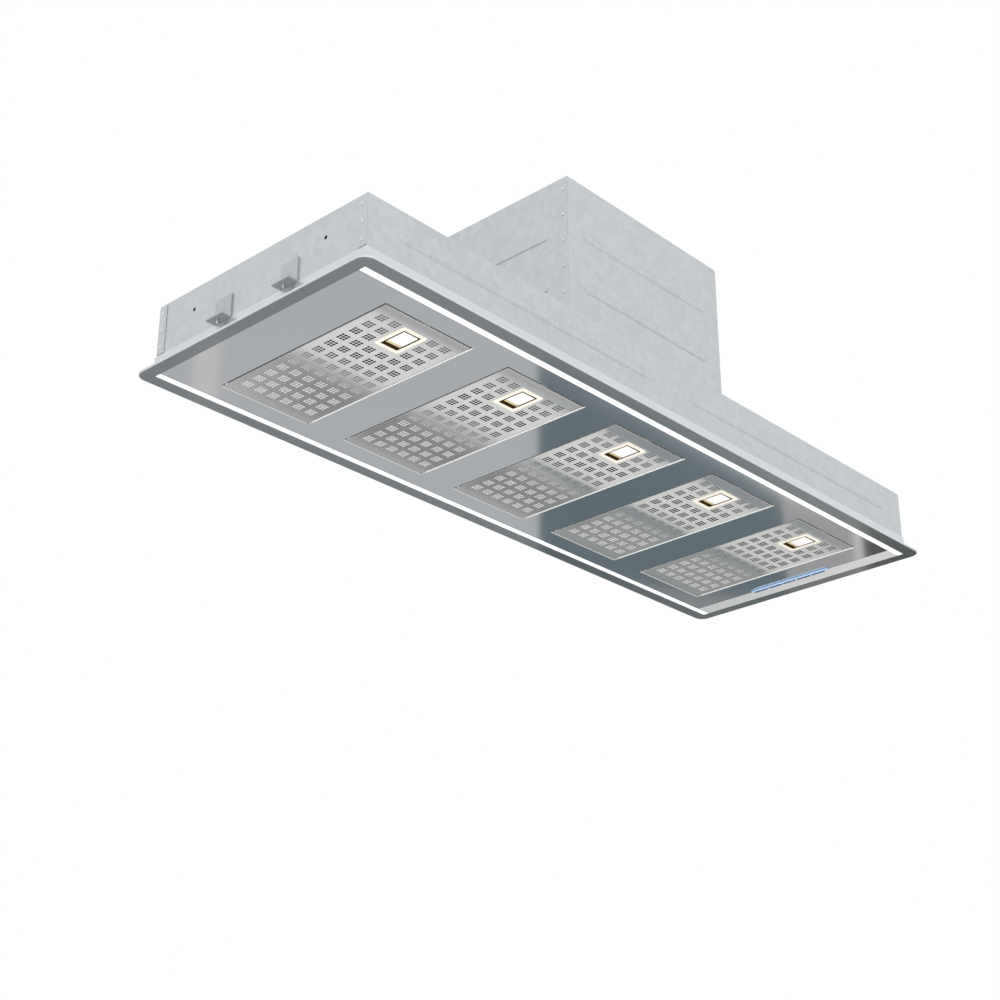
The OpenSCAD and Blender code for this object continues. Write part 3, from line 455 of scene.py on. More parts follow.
FINISHES = {
    "border_steel": BORDER, "panel_steel": PANEL, "fascia_steel": FASCIA, "filter_steel": FILTER,
    "mesh_aluminium": MESH, "bezel": BEZEL, "latch_white": LATCH, "profile_aluminium": PROFILE,
    "opal": OPAL, "led_board": LED_BOARD, "rail_blue": RAIL, "key_light": KEY,
    "circuit_board": CIRCUIT, "black_plastic": BLACK, "housing_sheet": HOUSING,
    "scroll_plastic": SCROLL, "impeller_plastic": WHEEL, "flap_plastic": FLAP,
    "bright_steel": BRIGHT, "zinc_steel": ZINC, "motor_paint": MOTOR, "capacitor_can": CAPACITOR,
}
for part in frame["record"]["subparts"]:
    faces = cad[part["node"]].data
    faces.materials.clear()
    faces.materials.append(FINISHES[part["material_slot"]])


# Mesh making

def added(name, data):
    """A new object in the scene."""
    made = bpy.data.objects.new(name, data)
    bpy.context.scene.collection.objects.link(made)
    return made


class Sketch:
    """Points and faces of one piece, each face with a finish number."""

    def __init__(self):
        self.points = []
        self.faces = []
        self.finishes = []

    def point(self, x, y, z):
        self.points.append((x, y, z))
        return len(self.points) - 1

    def ring(self, points):
        return [self.point(*p) for p in points]

    def face(self, corners, finish=0):
        self.faces.append(list(corners))
        self.finishes.append(finish)

    def join(self, ring, other, finish=0):
        count = len(ring)
        for k in range(count):
            n = (k + 1) % count
            self.face([ring[k], ring[n], other[n], other[k]], finish)

    def loft(self, rings, finish=0):
        """Joins rings of points in turn and caps both ends, in one finish or one for each band."""
        bands = finish if isinstance(finish, list) else [finish] * (len(rings) - 1)
        made = [self.ring(points) for points in rings]
        for first, second, band in zip(made, made[1:], bands):
            self.join(first, second, band)
        self.face(reversed(made[0]), bands[0])
        self.face(made[-1], bands[-1])

    def mesh(self, name, materials, smooth_angle):
        """The mesh, with sharp edges where its faces meet at more than an angle."""
        mesh = bpy.data.meshes.new(name)
        mesh.from_pydata(self.points, [], self.faces)
        for material in materials:
            mesh.materials.append(material)
        mesh.polygons.foreach_set("material_index", self.finishes)
        work = bmesh.new()
        work.from_mesh(mesh)
        bmesh.ops.recalc_face_normals(work, faces=work.faces)
        limit = math.radians(smooth_angle)
        for face in work.faces:
            face.smooth = True
        for edge in work.edges:
            edge.smooth = len(edge.link_faces) == 2 and edge.calc_face_angle(0.0) < limit
        work.to_mesh(mesh)
        work.free()
        return mesh

    def piece(self, name, materials, smooth_angle):
        return added(name, self.mesh(name, materials, smooth_angle))


def outline(width, length, radius, z, middle=(0.0, 0.0), steps=5):
    """A rounded rectangle as a ring of points."""
    points = []
    for turn, (sx, sy) in enumerate(((1, 1), (-1, 1), (-1, -1), (1, -1))):
        cx = middle[0] + sx * (width / 2 - radius)
        cy = middle[1] + sy * (length / 2 - radius)
        for k in range(steps + 1):
            angle = math.radians(90 * turn + 90 * k / steps)
            points.append((cx + radius * math.cos(angle), cy + radius * math.sin(angle), z))
    return points


def circle(radius, z, middle=(0.0, 0.0), sides=24, offset=0.0):
    """A ring of points, turned by an offset in steps."""
    angles = [math.tau * (k + offset) / sides for k in range(sides)]
    return [(middle[0] + radius * math.cos(a), middle[1] + radius * math.sin(a), z) for a in angles]


def turned(points, axes):
    """Points with their axes put in another order, such as (2, 0, 1) for z, x, y."""
    return [tuple(p[a] for a in axes) for p in points]


def soft_block(sketch, low, high, radius, finish=0, axis=2):
    """A block with rounded edges, lofted along an axis in nine bands, with one finish or nine."""
    order = {2: (0, 1, 2), 0: (1, 2, 0), 1: (2, 0, 1)}[axis]
    back = {2: (0, 1, 2), 0: (2, 0, 1), 1: (1, 2, 0)}[axis]
    lo = [low[a] for a in order]
    hi = [high[a] for a in order]
    middle = ((lo[0] + hi[0]) / 2, (lo[1] + hi[1]) / 2)
    width, length = hi[0] - lo[0], hi[1] - lo[1]
    steps = 4
    rings = []
    for k in range(steps + 1):
        angle = math.radians(90 * k / steps)
        inset = radius * (1 - math.sin(angle))
        corner = max(radius - inset, radius * 0.2)
        z = lo[2] + radius * (1 - math.cos(angle))
        rings.append(outline(width - 2 * inset, length - 2 * inset, corner, z, middle, steps))
    for ring in reversed(rings[:]):
        z = lo[2] + hi[2] - ring[0][2]
        rings.append([(p[0], p[1], z) for p in ring])
    sketch.loft([turned(ring, back) for ring in rings], finish)


# Perforated filter trays

def tile_middles():
    """The middles of the square groups of holes, apart from those under the handle."""
    for column in range(TILE_COLUMNS):
        for row in range(TILE_ROWS):
            x = (column - (TILE_COLUMNS - 1) / 2) * TILE_PITCH_X
            y = FIRST_ROW + row * TILE_PITCH_Y
            beside = abs(x) > (BEZEL_W + TILE) / 2
            beyond = abs(y - HANDLE_Y) > (BEZEL_L + TILE) / 2
            if beside or beyond:
                yield x, y


def breaks(middles, low, high):
    """Grid lines: the two edges and the borders of each hole's square."""
    lines = {round(low, 7), round(high, 7)}
    for middle in middles:
        for k in range(HOLES_ACROSS + 1):
            lines.add(round(middle + (k - HOLES_ACROSS / 2) * HOLE_PITCH, 7))
    return sorted(lines)


def filter_tray():
    """Perforated sheet with folded sides, a window for the handle, a tongue slot and stub pivots."""
    sketch = Sketch()
    half = FILTER_W / 2
    tiles = list(tile_middles())
    xs = breaks({round(t[0], 7) for t in tiles}, -half, half)
    ys = breaks({round(t[1], 7) for t in tiles}, 0.0, FILTER_L)
    holes = set()
    for x, y in tiles:
        for i in range(HOLES_ACROSS):
            for j in range(HOLES_ACROSS):
                left = round(x + (i - HOLES_ACROSS / 2) * HOLE_PITCH, 7)
                front = round(y + (j - HOLES_ACROSS / 2) * HOLE_PITCH, 7)
                holes.add((xs.index(left), ys.index(front)))
    # the window's edges lie on grid lines of the holes, under the bezel and inside the cup's wall
    window_x = round((TILE_PITCH_X + TILE) / 2, 7)
    window_y = (FIRST_ROW - HOLE_PITCH / 2, FIRST_ROW + 2 * TILE_PITCH_Y + HOLE_PITCH / 2)
    columns = [xs.index(-window_x), xs.index(window_x)]
    rows = [ys.index(round(y, 7)) for y in window_y]

    def corner(i, j, inset, z):
        """A point of the grid, kept inside the outline by an inset."""
        x = max(inset - half, min(half - inset, xs[i]))
        y = max(inset, min(FILTER_L - inset, ys[j]))
        return sketch.point(x, y, z)

    def sheet(inset, z):
        return [[corner(i, j, inset, z) for j in range(len(ys))] for i in range(len(xs))]

    def wall(start, end):
        """A face of the sheet's thickness between two points of the grid."""
        (a, b), (c, d) = start, end
        sketch.face([lower[a][b], lower[c][d], upper[c][d], upper[a][b]])

    lower = sheet(TRAY_EDGE, 0.0)
    upper = sheet(TRAY_T, TRAY_T)
    for i in range(len(xs) - 1):
        for j in range(len(ys) - 1):
            if columns[0] <= i < columns[1] and rows[0] <= j < rows[1]:
                continue
            corners = [(i, j), (i + 1, j), (i + 1, j + 1), (i, j + 1)]
            if (i, j) not in holes:
                sketch.face([lower[a][b] for a, b in corners])
                sketch.face([upper[a][b] for a, b in reversed(corners)])
                continue
            middle = ((xs[i] + xs[i + 1]) / 2, (ys[j] + ys[j + 1]) / 2)
            rims = [sketch.ring(circle(HOLE_R, z, middle, HOLE_SIDES, 0.5)) for z in (0.0, TRAY_T)]
            sketch.join(rims[0], rims[1], 1)
            for rim, layer in zip(rims, (lower, upper)):
                # corner n + 2 faces hole point 1 + 3 n, as the points run from 15 degrees
                for side in range(4):
                    arc = [rim[(side * 3 + 1 + k) % HOLE_SIDES] for k in range(4)]
                    (a, b), (c, d) = corners[(side + 2) % 4], corners[(side + 3) % 4]
                    sketch.face([layer[a][b], layer[c][d]] + arc[::-1])
    # walls of the window
    for i in range(*columns):
        for j in rows:
            wall((i, j), (i + 1, j))
    for j in range(*rows):
        for i in columns:
            wall((i, j), (i, j + 1))
    # folded sides, with a slot for the latch tongue in the front one
    last_i, last_j = len(xs) - 1, len(ys) - 1
    loop = [(i, 0) for i in range(last_i)] + [(last_i, j) for j in range(last_j)]
    loop += [(i, last_j) for i in range(last_i, 0, -1)] + [(0, j) for j in range(last_j, 0, -1)]
    slot_x = 6.8 * MM
    slot_low, slot_high = 4.9 * MM, 6.7 * MM
    steps = [
        (TRAY_EDGE * 0.3, TRAY_EDGE * 0.3), (0.0, TRAY_EDGE),
        (0.0, slot_low), (0.0, slot_high), (0.0, FILTER_H),
        (TRAY_HEM, FILTER_H), (TRAY_HEM, FILTER_H - TRAY_T), (TRAY_T, FILTER_H - TRAY_T),
        (TRAY_T, slot_high), (TRAY_T, slot_low),
    ]
    rings = [[lower[i][j] for i, j in loop]]
    for inset, z in steps:
        rings.append([corner(i, j, inset, z) for i, j in loop])
    rings.append([upper[i][j] for i, j in loop])
    # the rings at the slot's bottom and top, on the side's outer and inner face
    outer_low, outer_high, inner_high, inner_low = 3, 4, 9, 10
    slot_columns = [k for k in range(last_i) if abs((xs[k] + xs[k + 1]) / 2) < slot_x]
    for band in range(len(rings) - 1):
        for k in range(len(loop)):
            if k in slot_columns and band in (outer_low, inner_high):
                continue
            n = (k + 1) % len(loop)
            sketch.face([rings[band][k], rings[band][n], rings[band + 1][n], rings[band + 1][k]])
    for k in slot_columns:
        for outer, inner in ((outer_low, inner_low), (outer_high, inner_high)):
            sketch.face([rings[outer][k], rings[outer][k + 1], rings[inner][k + 1], rings[inner][k]])
    for k in (slot_columns[0], slot_columns[-1] + 1):
        sketch.face([rings[number][k] for number in (outer_low, outer_high, inner_high, inner_low)])
    # stub pivots with a collar and a rounded tip
    pivot = (FILTER_L - PIVOT_IN, PIVOT_IN)
    collar_x = half + 0.9 * MM
    profile = [
        (half - TRAY_T, 2.0), (half, 2.0), (half, 3.2), (collar_x, 3.2), (collar_x, 2.0),
        (PIVOT_REACH - 0.5 * MM, 2.0), (PIVOT_REACH, 1.5),
    ]
    for side in (-1, 1):
        ring_points = []
        for x, radius in profile:
            ring = circle(radius * MM, side * x, pivot, 20)
            ring_points.append(turned(ring, (2, 0, 1)))
        sketch.loft(ring_points)
    return sketch


def coil(sketch, start, radius, wire, length, turns, steps=12, sides=6):
    """A round wire wound along +Y, from a start on the coil's axis."""
    total = turns * steps
    rings = []
    for k in range(total + 1):
        angle = math.tau * k / steps
        along = wire / 2 + (length - wire) * k / total
        ring = []
        for s in range(sides):
            a = math.tau * s / sides
            reach = radius - wire / 2 + wire / 2 * math.cos(a)
            ring.append((
                start[0] + reach * math.cos(angle),
                start[1] + (along + wire / 2 * math.sin(a)),
                start[2] + reach * math.sin(angle),
            ))
        rings.append(ring)
    sketch.loft(rings)


def handle_bezel():
    """Rounded frame with the finger cup behind its window."""
    sketch = Sketch()
    middle = (0.0, HANDLE_Y)
    step = 0.35 * MM
    wall_w, wall_l = WINDOW_W + 2 * CUP_T, WINDOW_L + 2 * CUP_T
    # width, length, corner radius and height of each ring, from inside the cup to its outer wall
    rings = [
        (WINDOW_W - 2 * MM, WINDOW_L - 2 * MM, 1.0 * MM, CUP_DEPTH),
        (WINDOW_W, WINDOW_L, 1.6 * MM, CUP_DEPTH - 1.0 * MM),
        (WINDOW_W, WINDOW_L, 1.6 * MM, -step),
        (WINDOW_W, WINDOW_L, 1.6 * MM, -BEZEL_T + step),
        (WINDOW_W + 2 * step, WINDOW_L + 2 * step, 1.8 * MM, -BEZEL_T),
        (BEZEL_W - 2 * step, BEZEL_L - 2 * step, 2.2 * MM, -BEZEL_T),
        (BEZEL_W - 0.5 * step, BEZEL_L - 0.5 * step, 2.4 * MM, -BEZEL_T + 0.5 * step),
        (BEZEL_W, BEZEL_L, 2.5 * MM, -BEZEL_T + 1.4 * step),
        (BEZEL_W, BEZEL_L, 2.5 * MM, 0.0),
        (wall_w, wall_l, 1.6 * MM, 0.0),
        (wall_w, wall_l, 1.6 * MM, CUP_DEPTH + CUP_T),
    ]
    # the cup's floor and inner wall take the painted shade of the recess
    sketch.loft([outline(*ring, middle) for ring in rings], [1, 1] + [0] * (len(rings) - 3))
    return sketch


def latch_slide():
    """Finger plate with a groove and a gold rib, riser, tongue and spring shoulder."""
    sketch = Sketch()
    half = 23.5 * MM / 2
    front = HANDLE_Y - WINDOW_L / 2 + 2.5 * MM
    back = front + 32.0 * MM
    low = -0.5 * MM
    rib_front = back - 3.2 * MM
    plate_back = rib_front - 1.2 * MM
    tongue_half = 6.0 * MM
    tongue_tip = slide_low.y - FILTER_FRONT
    tongue_low, tongue_top = 5.0 * MM, 6.6 * MM
    shoulder = slide_high.x
    # the plate is white only on its face; its sides and top take the painted shade of the cup
    white_face = [0, 0] + [2] * 7
    soft_block(sketch, (-half, front, low), (half, plate_back, low + 1.6 * MM), 0.5 * MM, white_face)
    soft_block(sketch, (-half + 0.6 * MM, plate_back - 1 * MM, low + 0.8 * MM),
               (half - 0.6 * MM, back - 0.6 * MM, low + 1.6 * MM), 0.2 * MM)
    soft_block(sketch, (-half, rib_front, low - 0.4 * MM), (half, back, low + 1.4 * MM), 0.5 * MM, 1)
    soft_block(sketch, (-tongue_half, front + 2 * MM, low + 0.8 * MM),
               (tongue_half, front + 5 * MM, tongue_top), 0.3 * MM)
    soft_block(sketch, (-tongue_half, tongue_tip, tongue_low),
               (tongue_half, front + 4.8 * MM, tongue_top), 0.3 * MM)
    soft_block(sketch, (-shoulder, 7.0 * MM, tongue_low - 0.5 * MM),
               (shoulder, 8.5 * MM, tongue_top + 0.5 * MM), 0.3 * MM)
    return sketch


springs = Sketch()
for side in (-1, 1):
    start = (side * SPRING_X, spring_low.y, SPRING_Z)
    coil(springs, start, SPRING_R, WIRE, SPRING_LENGTH, SPRING_TURNS)
tray_mesh = filter_tray().mesh("tray pattern", [FILTER, HOLE], 20.0)
bezel_mesh = handle_bezel().mesh("bezel pattern", [BEZEL, RECESS_SHADE], 30.0)
slide_mesh = latch_slide().mesh("slide pattern", [LATCH, GOLD, RECESS_SHADE], 30.0)
spring_mesh = springs.mesh("spring pattern", [BRIGHT], 60.0)


def placed(name, mesh, place, body, node):
    made = added(name, mesh)
    made.location = place
    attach(made, body)
    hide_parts(node)
    return made


for number in FILTERS:
    corner = (filter_x(number), FILTER_FRONT, FILTER_Z)
    body = "filter_%d" % number
    placed("perforated_tray_%d" % number, tray_mesh, corner, body,
           "filter_tray_%d" % number)
    placed("handle_bezel_%d" % number, bezel_mesh, corner, body,
           "latch_bezel_%d" % number)
    placed("latch_plate_%d" % number, slide_mesh, corner, "latch_%d" % number,
           "latch_slide_%d" % number)
    coils = placed("coil_springs_%d" % number, spring_mesh, (filter_x(number), 0, 0), body,
                   "latch_springs_%d" % number)
    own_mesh(coils)


# Key rail with its five lit keys

rail_low, rail_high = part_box("key_rail")
RAIL_WALL = 0.6 * MM
RAIL_IN = 0.25 * MM
RAIL_EDGE = 0.2 * MM
KEY_HALF = 12.6 * MM
POST_IN = 2.0 * MM
POST_R = 1.5 * MM
POST_TIP = 0.3 * MM
NECK_HALF = 1.3 * MM
CAP_TOP = FACE_Z - 0.9 * MM
HOOK_LOW = FACE_Z + 1.25 * MM
HOOK_TOP = HOOK_LOW + 1.0 * MM
OVERLAP = 0.1 * MM
key_x = (rail_low.x + rail_high.x) / 2
rail = Sketch()
for left in (rail_low.x, rail_high.x - RAIL_WALL):
    soft_block(rail, (left, rail_low.y, rail_low.z), (left + RAIL_WALL, rail_high.y, FACE_Z),
               RAIL_EDGE, axis=1)
starts = [rail_low.y]
ends = []
for number in KEYS:
    low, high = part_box("key_%d" % number)
    ends.append((low.y + high.y) / 2 - KEY_HALF)
    starts.append((low.y + high.y) / 2 + KEY_HALF)
ends.append(rail_high.y)
for start, end in zip(starts, ends):
    soft_block(rail, (rail_low.x + RAIL_IN, start, rail_low.z + 0.05 * MM),
               (rail_high.x - RAIL_IN, end, FACE_Z), RAIL_EDGE)
post = ((POST_R, FACE_Z - 0.5 * MM), (POST_R, rail_high.z - POST_TIP), (POST_R - POST_TIP, rail_high.z))
for y in (rail_low.y + POST_IN, rail_high.y - POST_IN):
    rail.loft([circle(radius, z, (key_x, y)) for radius, z in post])
rail_piece = rail.piece("blue_key_rail", [RAIL], 30.0)
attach(rail_piece, "hood")
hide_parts("key_rail")
for number in KEYS:
    low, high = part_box("key_%d" % number)
    middle = (low.y + high.y) / 2
    key = Sketch()
    soft_block(key, low, (high.x, high.y, CAP_TOP), 0.5 * MM, [1] * 3 + [0] * 6)
    # half length, bottom and top of the neck, the hooks and the stem, which overlap a little
    for half_y, bottom, top in (
        (10.0 * MM, CAP_TOP - OVERLAP, HOOK_LOW + OVERLAP),
        (10.8 * MM, HOOK_LOW, HOOK_TOP),
        (2.0 * MM, HOOK_TOP - OVERLAP, high.z),
    ):
        soft_block(key, (key_x - NECK_HALF, middle - half_y, bottom),
                   (key_x + NECK_HALF, middle + half_y, top), 0.15 * MM)
    piece = key.piece("lit_key_%d" % number, [KEY, KEY_FACE], 30.0)
    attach(piece, "key_%d" % number)
    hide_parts("key_%d" % number)


# Screws, ribs, beads, seams and rivets of the housing

def screw(sketch, place, radius=3.6 * MM, height=2.2 * MM):
    """A pan head with a cross recess, on a flat face that looks up."""
    x, y, z = place
    made = []
    for share, rise in ((1.0, 0.0), (1.0, 0.35), (0.86, 0.75), (0.55, 1.0)):
        made.append(sketch.ring(circle(radius * share, z + height * rise, (x, y), 20)))
    recess = []
    arm, width = radius * 0.45, radius * 0.13
    for k in range(4):
        c, s = math.cos(math.tau * k / 4), math.sin(math.tau * k / 4)
        for along, across in ((width, -width), (arm, -width), (arm, width)):
            recess.append((x + along * c - across * s, y + along * s + across * c))
    for first, second in zip(made, made[1:]):
        sketch.join(first, second)
    sketch.face(reversed(made[0]))
    rim = [sketch.point(px, py, z + height) for px, py in recess]
    floor = [sketch.point(px, py, z + height * 0.45) for px, py in recess]
    sketch.join(rim, floor)
    sketch.face(floor)
    # four faces fill the top, between the head's circle and the recess
    outer = made[-1]
    for k in range(4):
        arc = [outer[(5 * k + n) % 20] for n in range(-3, 3)]
        sketch.face(arc + [rim[(3 * k + n) % 12] for n in (2, 1, 0, -1)])


def rib(sketch, start, end, width, height, out=(0, 0, 1)):
    """A long pressed bead with round ends, on a flat face that looks along out."""
    start, end, out = Vector(start), Vector(end), Vector(out)
    along = (end - start).normalized()
    across = out.cross(along)
    reach = (end - start).length / 2
    rings = []
    for share, rise in ((1.0, 0.0), (0.93, 0.35), (0.75, 0.7), (0.45, 0.94), (0.12, 1.0)):
        half = width / 2 * share
        ring = []
        for k in range(9):
            a = -math.pi / 2 + math.pi * k / 8
            ring.append((reach + half * math.cos(a), half * math.sin(a)))
        ring += [(-u, -v) for u, v in ring]
        middle = (start + end) / 2 + out * (height * rise)
        rings.append([middle + along * u + across * v for u, v in ring])
    sketch.loft(rings)


def rivet(sketch, place, out, radius=3.2 * MM, height=1.3 * MM):
    """A domed rivet head on a flat face that looks along out."""
    place, out = Vector(place), Vector(out)
    side = out.orthogonal().normalized()
    other = out.cross(side)
    rings = []
    for share, rise in ((1.0, -0.1), (1.0, 0.25), (0.8, 0.7), (0.4, 1.0)):
        middle = place + out * (height * rise)
        rings.append([middle + side * u + other * v for u, v, _ in circle(radius * share, 0.0, sides=16)])
    sketch.loft(rings)


def lap_strip(sketch, corner, opposite):
    """A flat strip of folded-over sheet between two opposite corners."""
    low = [min(pair) for pair in zip(corner, opposite)]
    high = [max(pair) for pair in zip(corner, opposite)]
    soft_block(sketch, low, high, 0.4 * MM)


_, roof_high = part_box("housing_roof")
_, shell_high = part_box("housing_shell")
tower_low, tower_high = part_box("blower_tower")
collar_low, collar_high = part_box("outlet_collar")
lid_low, lid_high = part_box("electronics_lid")
ROOF_Z = roof_high.z
ROOF_IN = 6.0 * MM
FOOT = 12.0 * MM
COLLAR_X = (collar_low.x + collar_high.x) / 2
COLLAR_Y = (collar_low.y + collar_high.y) / 2
COLLAR_OUT = 70.0 * MM
COLLAR_T = 1.5 * MM
LID_X = (lid_low.x + lid_high.x) / 2
LID_IN = 7.0 * MM
TOWER_TOP = tower_high.z

fixings = Sketch()
foot_z = tower_low.z + 1.0 * MM
for share in (-0.85, -0.3, 0.3, 0.85):
    for side in (-1, 1):
        screw(fixings, (tower_high.x * share, side * (tower_high.y - FOOT / 2), foot_z))
        screw(fixings, (side * (tower_high.x - FOOT / 2), tower_high.y * share, foot_z))
for sx in (-1, 1):
    for sy in (-1, 1):
        screw(fixings, (COLLAR_X + sx * COLLAR_OUT, COLLAR_Y + sy * COLLAR_OUT, TOWER_TOP + COLLAR_T))
        lid_x = LID_X + sx * (lid_high.x - lid_low.x - 2 * LID_IN) / 2
        screw(fixings, (lid_x, sy * (lid_high.y - LID_IN), lid_high.z), 3.0 * MM, 1.8 * MM)
for share in (-0.95, -0.72, -0.49, 0.49, 0.72, 0.95):
    for side in (-1, 1):
        screw(fixings, (roof_high.x * share, side * (roof_high.y - ROOF_IN), ROOF_Z))
for side in (-1, 1):
    for share in (-0.5, 0.5):
        screw(fixings, (side * (roof_high.x - ROOF_IN), roof_high.y * share, ROOF_Z))
fixing_piece = fixings.piece("housing_screws", [BRIGHT], 40.0)
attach(fixing_piece, "hood")

# side of the roof, start and end along it and place across it, in shares of the roof's half sizes
ROOF_RIBS = (
    (-1, 0.30, 0.90, -0.62), (-1, 0.30, 0.90, 0.0), (-1, 0.50, 0.90, 0.62),
    (1, 0.86, 0.95, -0.62), (1, 0.86, 0.95, 0.0), (1, 0.86, 0.95, 0.62),
)
beads = Sketch()
for side, start, end, share in ROOF_RIBS:
    y, z = roof_high.y * share, ROOF_Z - 0.1 * MM
    rib(beads, (side * roof_high.x * start + side * 18 * MM, y, z), (side * roof_high.x * end, y, z),
        16 * MM, 2.2 * MM)
bead_piece = beads.piece("roof_ribs", [HOUSING], 50.0)
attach(bead_piece, "hood")

# Pressed beads on the tower and the shell, and lap seams with rivets at their corners
WALL_X = tower_high.x - FOOT
WALL_Y = tower_high.y - FOOT
BEAD_W = 14.0 * MM
BEAD_H = 2.0 * MM
LONG_BEAD = 125 * MM
SHORT_BEAD = 108 * MM
SHELL_BEAD = (45 * MM, 505 * MM)
SHELL_BEAD_Z = 61 * MM
LAP_W = 14.0 * MM
LAP_T = 1.0 * MM
UPSTAND_TOP = 26.0 * MM
side_beads = Sketch()
laps = Sketch()
rivets = Sketch()
for side in (-1, 1):
    front = side * WALL_Y
    end = side * WALL_X
    for z in (176 * MM, 256 * MM):
        rib(side_beads, (-LONG_BEAD, front, z), (LONG_BEAD, front, z), BEAD_W, BEAD_H, (0, side, 0))
        rib(side_beads, (end, -SHORT_BEAD, z), (end, SHORT_BEAD, z), BEAD_W, BEAD_H, (side, 0, 0))
    top_y = -75 * MM + side * 28 * MM
    rib(side_beads, (-LONG_BEAD, top_y, TOWER_TOP), (LONG_BEAD, top_y, TOWER_TOP), BEAD_W, BEAD_H)
    for half in (-1, 1):
        near, far = [(half * x, side * shell_high.y, SHELL_BEAD_Z) for x in SHELL_BEAD]
        rib(side_beads, near, far, BEAD_W, BEAD_H, (0, side, 0))
        lap_strip(laps, (end, half * WALL_Y, tower_low.z + 2 * MM),
                  (end + side * LAP_T, half * (WALL_Y - LAP_W), TOWER_TOP - 2 * MM))
        lap_strip(laps, (side * shell_high.x, half * shell_high.y, UPSTAND_TOP),
                  (side * (shell_high.x + LAP_T), half * (shell_high.y - LAP_W), shell_high.z - 1 * MM))
        for step in range(6):
            place = (end + side * LAP_T, half * (WALL_Y - LAP_W / 2), (118 + 40 * step) * MM)
            rivet(rivets, place, (side, 0, 0))
        shell_seam = side * (shell_high.x + LAP_T)
        for step in range(3):
            place = (shell_seam, half * (shell_high.y - LAP_W / 2), (36 + 24 * step) * MM)
            rivet(rivets, place, (side, 0, 0))
for name, sketch, finish, slot in (
    ("side_beads", side_beads, HOUSING, "housing_sheet"),
    ("lap_seams", laps, HOUSING, "housing_sheet"),
    ("seam_rivets", rivets, BRIGHT, "bright_steel"),
):
    trim = sketch.piece(name, [finish], 50.0)
    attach(trim, "hood")

# Raised rings round the spigot
SPIGOT_R = 75.0 * MM
spigot_rings = Sketch()
for height in (14.0, 38.0):
    section = []
    for k in range(9):
        a = math.pi * k / 8
        rise = (height - 2.0 * math.cos(a)) * MM
        section.append((SPIGOT_R - 0.4 * MM + 1.6 * MM * math.sin(a), TOWER_TOP + rise))
    section.append((SPIGOT_R - 0.6 * MM, TOWER_TOP + (height + 1.6) * MM))
    section.append((SPIGOT_R - 0.6 * MM, TOWER_TOP + (height - 1.6) * MM))
    made = [spigot_rings.ring(circle(radius, z, (COLLAR_X, COLLAR_Y), 96)) for radius, z in section]
    for first, second in zip(made, made[1:] + made[:1]):
        spigot_rings.join(first, second)
ring_piece = spigot_rings.piece("spigot_rings", [BLACK], 50.0)
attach(ring_piece, "hood")


# Camera at the photograph's angle

CAMERA = Vector((-1.7584, -1.5042, -1.0996))
YAW = 0.8233
PITCH = 0.4289
camera_data = bpy.data.cameras.new("camera")
camera_data.sensor_width = 36.0
camera_data.lens = 66.74
camera_data.clip_end = 100.0
camera = added("camera", camera_data)
look = Vector((math.sin(YAW) * math.cos(PITCH), math.cos(YAW) * math.cos(PITCH), math.sin(PITCH)))
camera.location = CAMERA
camera.rotation_euler = look.to_track_quat("-Z", "Y").to_euler()
bpy.context.scene.camera = camera


# Studio: floor, pale world, soft lamps, and cards that only reflections show

FLOOR_Z = -2.4
FLOOR_REACH = 9.0
CARD_TOP = 0.5
WHITE = (1.0, 1.0, 1.0, 1.0)


def stage_piece(name, points, faces, material):
    mesh = bpy.data.meshes.new(name)
    mesh.from_pydata(points, [], faces)
    mesh.materials.append(material)
    made = added(name, mesh)
    return made


def ray(paint, kind):
    """1 for rays of a kind, such as Camera or Glossy, and 0 for others."""
    return paint.node("ShaderNodeLightPath", {}, {}, out="Is %s Ray" % kind)


def floor_finish():
    """Matt floor that looks paler to the camera and in reflections than it lights the hood."""
    paint = Paint("floor")
    matt = paint.node("ShaderNodeBsdfDiffuse", {}, {"Color": (0.86, 0.86, 0.86, 1.0)})
    glow = paint.node("ShaderNodeEmission", {}, {"Color": WHITE, "Strength": 0.22})
    pale = paint.node("ShaderNodeAddShader", {}, [matt, glow])
    seen = (ray(paint, "Camera") + ray(paint, "Glossy")).clamped()
    return paint.show(paint.node("ShaderNodeMixShader", {}, [seen, matt, pale]))


def pale_world():
    """White to the camera, in reflections and through glass, and dimmer as a light."""
    paint = Paint("world", world=True)
    light = paint.node("ShaderNodeBackground", {}, {"Color": WHITE, "Strength": 0.62})
    white = paint.node("ShaderNodeBackground", {}, {"Color": WHITE, "Strength": 1.0})
    seen = ray(paint, "Camera")
    for kind in ("Glossy", "Transmission"):
        seen = seen.maths("MAXIMUM", seen, ray(paint, kind))
    return paint.show(paint.node("ShaderNodeMixShader", {}, [seen, light, white]))


def card_finish(name, colour):
    paint = Paint(name)
    return paint.show(paint.node("ShaderNodeEmission", {}, {"Color": colour}))


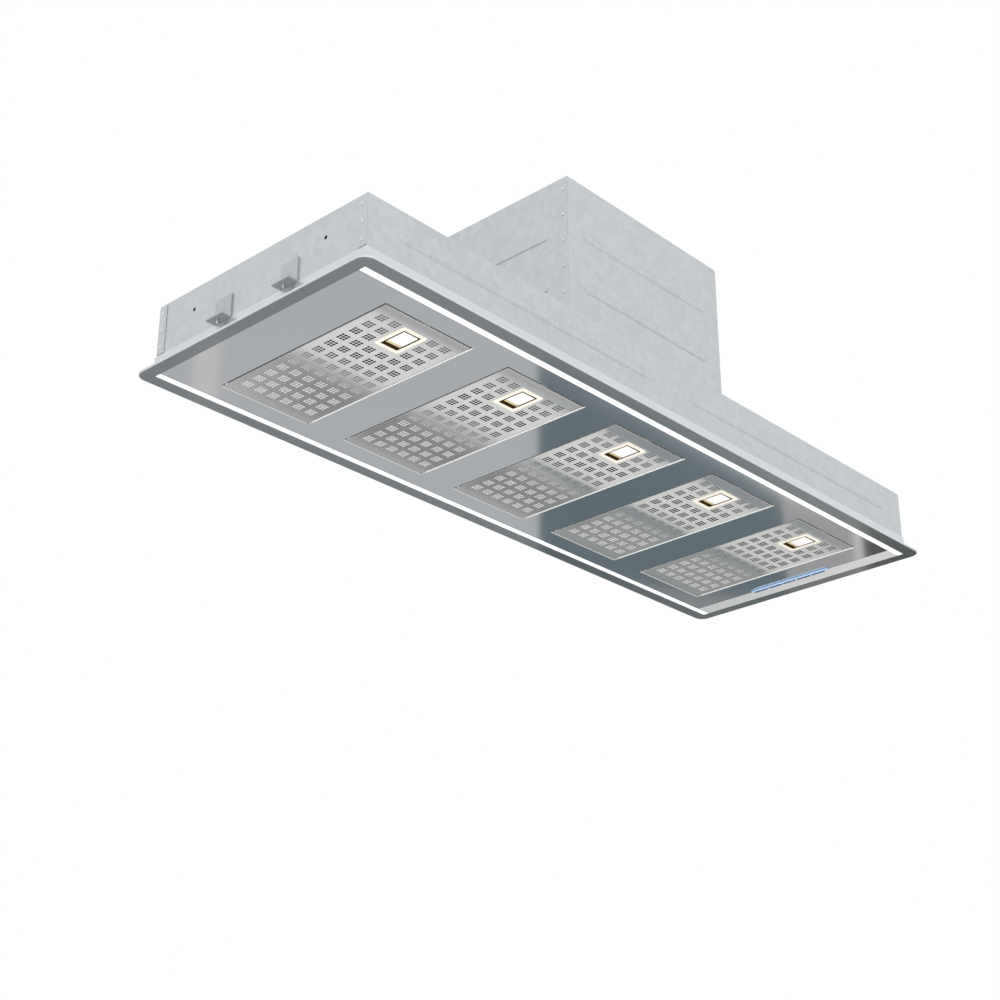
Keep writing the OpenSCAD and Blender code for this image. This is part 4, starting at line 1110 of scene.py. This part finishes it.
def card(name, from_deg, to_deg, low, colour, distance=4.5):
    """A tall card between two directions from the camera, with its low edge given at both ends."""
    points = []
    for angle, bottom in ((from_deg, low[0]), (to_deg, low[1])):
        a = math.radians(angle)
        x = CAMERA.x + distance * math.cos(a)
        y = CAMERA.y + distance * math.sin(a)
        points.append((x, y, bottom))
        points.append((x, y, CARD_TOP))
    made = stage_piece(name, points, [(0, 2, 3, 1)], card_finish(name + " tone", colour))
    made.visible_camera = False
    made.visible_diffuse = False
    made.visible_shadow = False
    made.visible_transmission = False


def soft_lamp(name, place, size, power):
    """A square lamp that looks at the origin, and doesn't show in reflections."""
    data = bpy.data.lights.new(name, "AREA")
    data.shape = "SQUARE"
    data.size = size
    data.energy = power
    lamp = added(name, data)
    lamp.location = place
    lamp.rotation_euler = (-Vector(place)).to_track_quat("-Z", "Y").to_euler()
    lamp.visible_camera = False
    lamp.visible_glossy = False


floor_points = []
for x, y in ((-1, -1), (1, -1), (1, 1), (-1, 1)):
    floor_points.append((x * FLOOR_REACH, y * FLOOR_REACH, FLOOR_Z))
stage_piece("floor", floor_points, [(0, 1, 2, 3)], floor_finish())
bpy.context.scene.world = pale_world()

card("card left", 41.5, 62.0, (-1.58, -2.0), (0.62, 0.63, 0.65, 1.0))
card("card band", 52.6, 53.5, (-1.8, -1.8), (0.80, 0.76, 0.75, 1.0), 4.25)
card("card high left", 41.5, 62.0, (-0.74, -1.3), (0.19, 0.195, 0.2, 1.0), 4.46)
card("card high right", 24.0, 41.5, (-0.46, -0.74), (0.35, 0.36, 0.365, 1.0), 4.46)
card("card right", 33.35, 41.5, (-0.95, -1.42), (0.175, 0.225, 0.25, 1.0))
card("card grey", 31.1, 33.35, (-0.88, -0.95), (0.47, 0.46, 0.47, 1.0))
card("card light", 30.8, 31.1, (-0.87, -0.88), (0.80, 0.76, 0.74, 1.0))
card("card end", 24.0, 30.8, (-0.75, -0.87), (0.12, 0.12, 0.12, 1.0))

soft_lamp("lamp above", (-2.2, -2.4, 3.0), 2.5, 110)
soft_lamp("lamp below", (-1.4, -1.8, -2.2), 2.5, 70)
soft_lamp("lamp side", (3.0, 1.0, 1.2), 2.0, 40)

bpy.context.scene.view_settings.view_transform = "Standard"
